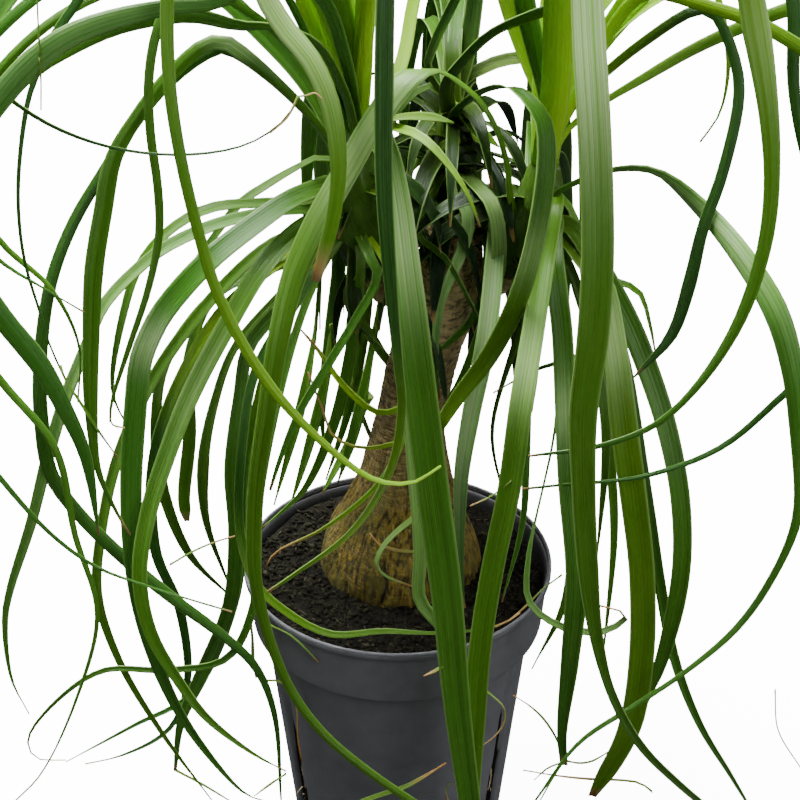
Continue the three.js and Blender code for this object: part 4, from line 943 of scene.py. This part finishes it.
def addStem(mesh, layers):
    rings, _ = smoothCurve(trunk["rings"], 600)
    heights = rings[:, 2]
    depths = []

    def place(turns, shares):
        level = mix(heights[0], heights[-1], np.minimum(1, shares / trunk["sideShare"]))
        x, y, radius = (np.interp(level, heights, rings[:, k]) for k in (0, 1, 3))
        wave = np.sin(5 * turns + 0.02 * level) + 0.7 * np.sin(9 * turns + 2 - 0.03 * level)
        radius = radius * (1 + 0.03 * wave * np.clip((level - 205) / 20, 0, 1))
        inner = np.clip((shares - trunk["sideShare"]) / (1 - trunk["sideShare"]), 0, 1)
        spots = []
        for turn, z, cx, cy, reach, inside in zip(turns, level, x, y, radius, inner):
            cos, sin = math.cos(turn), math.sin(turn)
            swollen = clip((trunk["swollenTop"] - z) / 60)
            cleft, band = barkDepth(z, turn, swollen)
            dip = cleft * trunk["fissureDepth"] + band * trunk["wrinkleDepth"]
            bulge = 0.9 * noise.noise(Vector((cos * 2.2, sin * 2.2, z / 16)))
            reach = (reach + bulge - dip + 0.3) * (1 - inside)
            cut = 1.1 * noise.noise(Vector((cos * reach / 5, sin * reach / 5, 3))) if inside else 0
            depths.append((max(cleft, 0.8 * band) if inside < 0.1 else -1.0, 1 - swollen))
            spots.append(((cx + reach * cos) / 1000, (cy + reach * sin) / 1000,
                          (z + cut - 2.2 * math.sin(math.pi / 2 * inside)) / 1000))
        return spots

    made = bmesh.ops.create_grid(mesh, x_segments=trunk["around"], y_segments=trunk["up"], size=1.0)["verts"]
    flat = np.array([vert.co[:2] for vert in made])
    for vert, spot, (depth, high) in zip(made, place(flat[:, 0] * math.pi, (flat[:, 1] + 1) / 2), depths):
        vert.co = spot
        vert[layers["sink"]] = depth
        vert[layers["stem"]] = high


def addShoot(mesh, layers, name, start):
    # A stump that bends from inside the stem into the leafy shoot
    line, _ = smoothCurve(heads[name]["axis"], 40)
    along = unit(line[1] - line[0])
    end = line[0] - along * 0.3
    bend = end - along * trunk["shootBend"]
    start = np.array(start, float)

    def place(turns, shares):
        inside = np.clip((shares - trunk["shootShare"]) / (1 - trunk["shootShare"]), 0, 1)
        t = np.minimum(1, shares / trunk["shootShare"])[:, None]
        centre = start * ((1 - t) ** 3 + 3 * (1 - t) ** 2 * t) + bend * 3 * (1 - t) * t ** 2 + end * t ** 3
        way = unit(-6 * (1 - t) * t * start + bend * (6 * (1 - t) * t - 3 * t ** 2) + end * 3 * t ** 2
                   + along * 1e-3)
        across = unit(np.cross([0, 1, 0], way))
        radius = np.interp(t[:, 0], np.linspace(0, 1, 5), trunk["shootRadii"]) * (1 - inside)
        reach = radius + 0.5 * np.sin(t[:, 0] * 60 + 2 * np.sin(turns)) * (1 - inside)
        return tubePlaces(centre, across, np.cross(way, across), slice(None), reach, turns)

    for vert in wrapGrid(mesh, 48, 60, place):
        vert[layers["stem"]] = 1.0


def makeTrunk(material):
    mesh = bmesh.new()
    layers = {key: mesh.verts.layers.float.new("bark" + key.capitalize()) for key in ("sink", "stem")}
    addStem(mesh, layers)
    for name, start in trunk["shootFrom"].items():
        addShoot(mesh, layers, name, start)
    bmesh.ops.remove_doubles(mesh, verts=mesh.verts, dist=1e-6)
    bmesh.ops.holes_fill(mesh, edges=[edge for edge in mesh.edges if edge.is_boundary], sides=0)
    bmesh.ops.recalc_face_normals(mesh, faces=mesh.faces)
    finishPiece("trunk_bark", mesh, material, "trunk")


def barkMaterial():
    material, tree, shader = newMaterial("bark")
    place = objectPlace(tree)
    sink, stem = attribute(tree, "barkSink"), attribute(tree, "barkStem")
    upright = grainNode(tree, place, (430, 430, 38), 5.0, 0.34, 0.66)
    flecks = grainNode(tree, place, (800, 800, 80), 3.0, 0.52, 0.68)
    level = grainNode(tree, place, (90, 90, 800), 4.0, 0.36, 0.64)
    blotch = grainNode(tree, place, (42, 42, 30), 4.0, 0.42, 0.62)
    gold = mixColor(tree, upright, *trunk["gold"])
    gold = mixColor(tree, times(tree, flecks, 0.4), gold, trunk["fleck"])
    olive = mixColor(tree, times(tree, blotch, 0.65), gold, trunk["olive"])
    height = addNode(tree, "ShaderNodeSeparateXYZ", {0: place}).outputs[2]
    neck = ramp(tree, times(tree, minus(tree, height, 0.26), 8.0),
                [(0.0, 0), (0.35, 0.45), (0.75, 0.3), (1.0, 0)])
    tan = mixColor(tree, neck, mixColor(tree, level, *trunk["tan"]), trunk["neck"])
    # Painted light: above 0.35 m the top of the stem is lightened to a light buff, as if well lit under the
    # leaves
    litTop = times(tree, minus(tree, height, 0.35), 40.0, True)
    tan = mixColor(tree, times(tree, litTop, 0.75), tan, trunk["litTop"])
    color = mixColor(tree, stem, olive, tan)
    # Darker in the fissures: partly the darker bark inside them, partly painted shade in the recesses
    color = mixColor(tree, ramp(tree, sink, [(0.12, 0), (0.95, 0.92)]), color, trunk["crevice"])
    sawn = ramp(tree, times(tree, sink, -1.0), [(0.3, 0), (0.6, 1)])
    relief = plus(tree, upright, times(tree, level, 0.7))
    feed(tree, shader, {
        "Base Color": mixColor(tree, sawn, color, trunk["sawn"]),
        "Roughness": plus(tree, times(tree, upright, 0.2), 0.7),
        "Normal": bumpNode(tree, relief, 0.8, 0.0012)})
    return material


makeTrunk(barkMaterial())


# Soil: the peat block in the pot, its crumbly top, and the loose bits of peat and wood on it
soil = {
    "top": 205.0,
    "outline": [[0, 2.8], [62.4, 2.8], [80.9, 181.1], [87.9, 182.6], [88.7, 204.0]],
    "rings": 60,
    "steps": 220,
    "caudex": [2, 18],    # mm, the middle of the trunk
    "mound": 48,          # mm, the soil rises to the trunk inside this radius
    "clear": 49.5,        # mm, no loose bits inside this radius
    "reach": 86,          # mm, how far out the loose bits lie
    "banks": [[8.0, -0.8, 0.6], [6.0, 0.8, 0.5]],   # mm, and the side that is banked up against the wall
    "seed": 907,
    "crumbs": 2400,
    "fibres": 300,
    "peat": [(0.007, 0.007, 0.0055), (0.029, 0.027, 0.018)],
    "crumb": (0.020, 0.019, 0.014),
    "shred": (0.060, 0.058, 0.034),
    "fibre": (0.13, 0.12, 0.07),
}


def fromCaudex(x, y):
    return math.hypot(x - soil["caudex"][0], y - soil["caudex"][1])


def soilLift(x, y):
    # Height of the crumbly surface over the soil's level, in mm
    clods = noise.fractal(Vector((x / 16, y / 16, 1)), 0.9, 2.1, 4)
    grit = abs(noise.noise(Vector((x / 2.6, y / 2.6, 5))))
    mound = 2.2 * max(0.0, 1 - max(0.0, fromCaudex(x, y) - soil["mound"]) / 14)
    edge = clip((math.hypot(x, y) - 62) / 22)
    bank = edge * max(height * clip((right * x + back * y) / 60) for height, right, back in soil["banks"])
    return 1.5 * clods + 1.2 * grit - 1.3 + mound + bank


def addBit(mesh, tone, x, y, fibre, draw):
    # One crumb of peat or one wood fibre, lying on the surface
    size = (mix(2.0, 6.0, draw()), mix(0.3, 0.7, draw()), 0.35) if fibre else (
        mix(0.9, 3.8, draw() ** 2), mix(0.6, 2.2, draw() ** 2), mix(0.5, 1.6, draw()))
    bit = bmesh.ops.create_icosphere(mesh, subdivisions=1, radius=1.0)["verts"]
    slant = (draw() - 0.5) * (0.5 if fibre else 1.0)
    heading = 2 * math.pi * draw()
    cos, sin = math.cos(heading), math.sin(heading)
    base = soil["top"] + soilLift(x, y) + 0.5 * size[2]
    for vert in bit:
        cx, cy, cz = (vert.co[k] * size[k] for k in range(3))
        vert.co = ((x + cx * cos - cy * sin) / 1000, (y + cx * sin + cy * cos) / 1000,
                   (base + cz + slant * cx) / 1000)
    shade = mix(0.2, 0.75, draw()) if fibre or draw() > 0.92 else mix(0.0, 0.2, draw())
    for vert in bit:
        vert[tone] = shade


def makeSoil(material):
    mesh = bmesh.new()
    tone = mesh.verts.layers.float.new("crumbTone")
    rim = soil["outline"][-1][0]
    top = [[rim * (1 - step / soil["rings"]), soil["top"]] for step in range(1, soil["rings"] + 1)]
    spinOutline(mesh, soil["outline"] + top, soil["steps"])
    for vert in mesh.verts:
        if vert.co.z > (soil["top"] - 0.5) / 1000:
            vert.co.z += soilLift(vert.co.x * 1000, vert.co.y * 1000) / 1000
    draw = parkMiller(soil["seed"])
    for number in range(soil["crumbs"] + soil["fibres"]):
        turn, reach = 2 * math.pi * draw(), soil["reach"] * math.sqrt(draw())
        x, y = reach * math.cos(turn), reach * math.sin(turn)
        if fromCaudex(x, y) >= soil["clear"]:
            addBit(mesh, tone, x, y, number >= soil["crumbs"], draw)
    finishPiece("soil_peat", mesh, material, "soil")


def soilMaterial():
    material, tree, shader = newMaterial("peat soil")
    place = objectPlace(tree)
    crumb = grainNode(tree, place, (900, 900, 900), 4.0, 0.36, 0.7)
    patch = grainNode(tree, place, (110, 110, 110), 4.0, 0.38, 0.66)
    shreds = grainNode(tree, place, (260, 700, 400), 4.0, 0.56, 0.74)
    color = mixColor(tree, patch, *soil["peat"])
    color = mixColor(tree, times(tree, crumb, 0.5), color, soil["crumb"])
    color = mixColor(tree, times(tree, shreds, 0.6), color, soil["shred"])
    feed(tree, shader, {
        "Base Color": mixColor(tree, attribute(tree, "crumbTone"), color, soil["fibre"]),
        "Roughness": plus(tree, times(tree, crumb, -0.25), 0.95),
        "Normal": bumpNode(tree, crumb, 0.9, 0.0018), "IOR": 1.2})
    return material


makeSoil(soilMaterial())


# Pot: one moulded wall, turned round its axis, with the grooves pressed in and a slot low in each
pot = {
    "profile": [
        [0, 0], [30, 0], [58, 0], [62, 0], [64.0, 0.4], [64.6, 1.2], [65.2, 6], [83, 178.4], [83.4, 179.4],
        [84.4, 179.8], [89.2, 180.0], [90.0, 180.5], [90.2, 181.6], [92.9, 213.4], [93.4, 214.2],
        [94.6, 214.8], [95, 215.6], [95, 218.8], [94.7, 219.6], [93.9, 220], [93.2, 219.6], [92.9, 218.6],
    ],
    "rows": 4.5,          # mm, tallest row of faces
    "steps": 240,
    "wall": 0.0018,
    "grooves": [-60, 58, 179],
    "grooveTop": 166.0,
    "grooveWidths": [2.6, 7.4],   # mm, half the width at its top and at the base
    "grooveDepths": [0.8, 9.0],
    "grooveFloor": [40, 20],      # mm, the base plate is pressed from this radius on, and over how far
    "slot": [10.0, 94.0, 4.6],    # bottom, top and half width
    "plastic": [(0.115, 0.118, 0.132), (0.150, 0.153, 0.168)],
    "ledge": (0.15, 0.155, 0.16),
    "scratch": (0.17, 0.175, 0.18),
    "scuff": (0.30, 0.31, 0.32),
    "pore": (0.20, 0.20, 0.19),
    "inside": (0.022, 0.023, 0.026),
}


def cutSlot(mesh, out, side):
    low, high, half = pot["slot"]
    middles = [(face, face.calc_center_median() * 1000) for face in mesh.faces]
    gone = [face for face, spot in middles
            if spot @ out > 50 and abs(spot @ side) < half and low < spot.z < high]
    bmesh.ops.delete(mesh, geom=gone, context="FACES")


def pressGroove(mesh, out, side):
    start, ease = pot["grooveFloor"]
    for vert in mesh.verts:
        spot = vert.co * 1000
        if spot @ out < start or spot.z > pot["grooveTop"]:
            continue
        share = 1 - spot.z / pot["grooveTop"]
        dip = 1 - clip((abs(spot @ side) - mix(*pot["grooveWidths"], share) + 1.2) / 1.6)
        dip *= min(1.0, (spot @ out - start) / ease)
        vert.co -= out * dip * mix(*pot["grooveDepths"], share) / 1000


def makePot(material):
    mesh = bmesh.new()
    points = []
    for (r0, z0), (r1, z1) in zip(pot["profile"], pot["profile"][1:]):
        parts = max(1, math.ceil(math.hypot(r1 - r0, z1 - z0) / pot["rows"]))
        points += [(mix(r0, r1, part / parts), mix(z0, z1, part / parts)) for part in range(parts)]
    spinOutline(mesh, points + [pot["profile"][-1]], pot["steps"])
    mesh.normal_update()
    if sum(face.normal.z for face in mesh.faces if face.calc_center_median().z < 1e-5) > 0:
        bmesh.ops.reverse_faces(mesh, faces=mesh.faces)
    for angle in pot["grooves"]:
        out = Vector((math.sin(math.radians(angle)), -math.cos(math.radians(angle)), 0))
        side = Vector((-out.y, out.x, 0))
        cutSlot(mesh, out, side)
        pressGroove(mesh, out, side)
    giveWall(finishPiece("pot_wall", mesh, material, "pot"), pot["wall"], -1.0)


def potMaterial():
    material, tree, shader = newMaterial("pot plastic")
    place = objectPlace(tree)
    x, y, z = addNode(tree, "ShaderNodeSeparateXYZ", {0: place}).outputs
    height = times(tree, z, 1000.0)
    mottle = grainNode(tree, place, (60, 60, 60), 4.0, 0.3, 0.7)
    pores = grainNode(tree, place, (1500, 1500, 1500), 2.0, 0.66, 0.78)
    streak = grainNode(tree, place, (500, 500, 30), 3.0, 0.3, 0.7)
    scratch = grainNode(tree, place, (38, 38, 900), 3.0, 0.70, 0.74)
    scuff = grainNode(tree, place, (120, 120, 900), 4.0, 0.50, 0.60)

    def near(level, width):
        # Mask of the wall within so many mm of a height
        return mathNode(tree, "LESS_THAN", mathNode(tree, "ABSOLUTE", minus(tree, height, level)), width)
    color = mixColor(tree, mottle, *pot["plastic"])
    # Painted highlight: a lighter line along the band's bottom edge at 180.7 mm, where it catches the light
    color = mixColor(tree, times(tree, near(180.7, 0.6), 0.45), color, pot["ledge"])
    color = mixColor(tree, times(tree, scratch, 0.35), color, pot["scratch"])
    color = mixColor(tree, times(tree, times(tree, scuff, near(218.6, 1.8)), 0.3), color, pot["scuff"])
    color = mixColor(tree, times(tree, pores, 0.35), color, pot["pore"])
    # Painted shade: the inner face of the wall above the soil is darkened nearly to black
    flat = addNode(tree, "ShaderNodeCombineXYZ", {0: x, 1: y}).outputs[0]
    reach = times(tree, addNode(tree, "ShaderNodeVectorMath", {0: flat}, operation="LENGTH").outputs["Value"],
                  1000.0)
    slope = minus(tree, reach, times(tree, height, 0.085))   # the band leans out by 0.085
    inside = times(tree, mathNode(tree, "LESS_THAN", slope, 73.9),
                   mathNode(tree, "GREATER_THAN", height, 183.0))
    rough = plus(tree, times(tree, mottle, 0.14), 0.42)
    feed(tree, shader, {
        "Base Color": mixColor(tree, times(tree, inside, 0.8), color, pot["inside"]),
        "Roughness": plus(tree, rough, times(tree, streak, 0.08)),
        "Normal": bumpNode(tree, times(tree, streak, 0.3), 0.2, 0.0004)})
    return material


makePot(potMaterial())


# Roots: one thick light-coloured root behind each slot in front, with thin curly ends that stick out of it
roots = {
    "angles": {"root_left": -60, "root_right": 58},
    "heights": range(14, 91, 8),
    "radii": [1.6, 2.3, 2.6, 2.6, 2.4, 2.6, 2.2, 1.4],
    "curls": 5,
    "curlRadii": [0.55, 0.5, 0.35, 0.2],
    "seed": 31,
    "rind": [(0.24, 0.17, 0.08), (0.66, 0.56, 0.36)],
    "stain": (0.07, 0.045, 0.02),
}


def rootLine(outward):
    side = np.array([-outward[1], outward[0], 0])
    points = []
    for height in roots["heights"]:
        groove = mix(0.4, pot["grooveDepths"][1], 1 - height / pot["grooveTop"])
        reach = mix(64.5, 83.0, height / 179) - groove + 0.8
        points.append(outward * reach + side * 0.7 * math.sin(height * 0.2) + [0, 0, height])
    return points


def addRope(mesh, points, radii, around, up, wobble):
    line, _ = smoothCurve(points, up)
    way = unit(np.gradient(line, axis=0))
    across = unit(np.cross([0.3, 1.0, 0.1], way))

    def place(turns, shares):
        row = np.rint(shares * up).astype(int)
        ends = np.minimum(1, np.minimum(shares, 1 - shares) * 18) ** 0.5
        reach = np.interp(shares, np.linspace(0, 1, len(radii)), radii) * ends
        reach = reach * (1 + wobble * np.sin(3 * turns + 30 * shares) * np.sin(47 * shares))
        return tubePlaces(line, across, np.cross(way, across), row, reach, turns)
    wrapGrid(mesh, around, up, place)


def makeRoot(node, angle, material):
    mesh = bmesh.new()
    outward = np.array([math.sin(math.radians(angle)), -math.cos(math.radians(angle)), 0])
    line = rootLine(outward)
    addRope(mesh, line, roots["radii"], 20, 70, 0.08)
    draw = parkMiller(roots["seed"] + abs(angle))
    for step in range(roots["curls"]):
        points = [line[2 + step] + [0, 0, 6 * draw()]]
        for _ in range(4):
            push = outward * mix(0.4, 2.6, draw()) + (np.array([draw(), draw(), draw()]) - 0.5) * 7
            points.append(points[-1] + push)
        addRope(mesh, points, roots["curlRadii"], 7, 22, 0.1)
    bmesh.ops.recalc_face_normals(mesh, faces=mesh.faces)
    finishPiece(node + "_fibre", mesh, material, node)


def rootMaterial():
    material, tree, shader = newMaterial("root")
    place = objectPlace(tree)
    rind = grainNode(tree, place, (500, 500, 220), 4.0, 0.35, 0.65)
    stain = grainNode(tree, place, (140, 140, 60), 3.0, 0.5, 0.7)
    feed(tree, shader, {
        "Base Color": mixColor(tree, times(tree, stain, 0.6), mixColor(tree, rind, *roots["rind"]),
                               roots["stain"]),
        "Roughness": plus(tree, times(tree, rind, 0.2), 0.6),
        "Normal": bumpNode(tree, rind, 0.5, 0.0006)})
    return material


rootFinish = rootMaterial()
for rootName, rootAngle in roots["angles"].items():
    makeRoot(rootName, rootAngle, rootFinish)

# Floor, backdrop and lights
stage = {
    "floorSize": 12.0,
    "floorColor": (0.93, 0.93, 0.93, 1),
    "floorGlow": 12.0,
    "worldStrength": 0.07,
    "lights": {    # place and target in metres, size, power, and whether it shows in gloss
        "key": [(-0.4, 0.3, 2.2), (0, 0, 0.4), 1.2, 175, True],
        "fill": [(0.9, -1.6, 1.7), (0, 0, 0.35), 1.2, 25, False],
        "back": [(0.1, 1.8, 0.9), (0, 0, 0.45), 2.0, 32, False],
        "left side": [(-1.9, -0.5, 0.7), (0, 0, 0.3), 1.2, 10, True],
        "right side": [(1.9, -0.5, 0.7), (0, 0, 0.3), 1.2, 14, True],
    },
}
floorMesh = bmesh.new()
bmesh.ops.create_grid(floorMesh, x_segments=1, y_segments=1, size=stage["floorSize"] / 2)
floorData = bpy.data.meshes.new("floor")
floorMesh.to_mesh(floorData)
floorMesh.free()
floor = bpy.data.objects.new("floor", floorData)
bpy.context.collection.objects.link(floor)
floorMaterial, floorTree, floorShader = newMaterial("floor")
feed(floorTree, floorShader, {"Base Color": stage["floorColor"], "Roughness": 0.9,
                              "Emission Color": (1, 1, 1, 1),
                              "Emission Strength": stage["floorGlow"]})
floorData.materials.append(floorMaterial)
floor.visible_diffuse = False   # the floor shows white and lights nothing
floor.visible_glossy = False
floor.visible_transmission = False

world = bpy.data.worlds.new("studio")
world.use_nodes = True
worldTree = world.node_tree
cameraRay = addNode(worldTree, "ShaderNodeLightPath").outputs["Is Camera Ray"]
glow = plus(worldTree, times(worldTree, cameraRay, stage["floorGlow"]), stage["worldStrength"])
feed(worldTree, worldTree.nodes["Background"], {0: (1, 1, 1, 1), 1: glow})   # as white as the floor
bpy.context.scene.world = world


def softLight(name, place, target, size, power, shines):
    data = bpy.data.lights.new(name, "AREA")
    data.size = size
    data.energy = power
    light = bpy.data.objects.new(name, data)
    light.location = place
    light.visible_glossy = shines
    light.rotation_euler = (Vector(target) - Vector(place)).to_track_quat("-Z", "Y").to_euler()
    bpy.context.collection.objects.link(light)


for lightName, lightSettings in stage["lights"].items():
    softLight(lightName, *lightSettings)
print("stage ready")
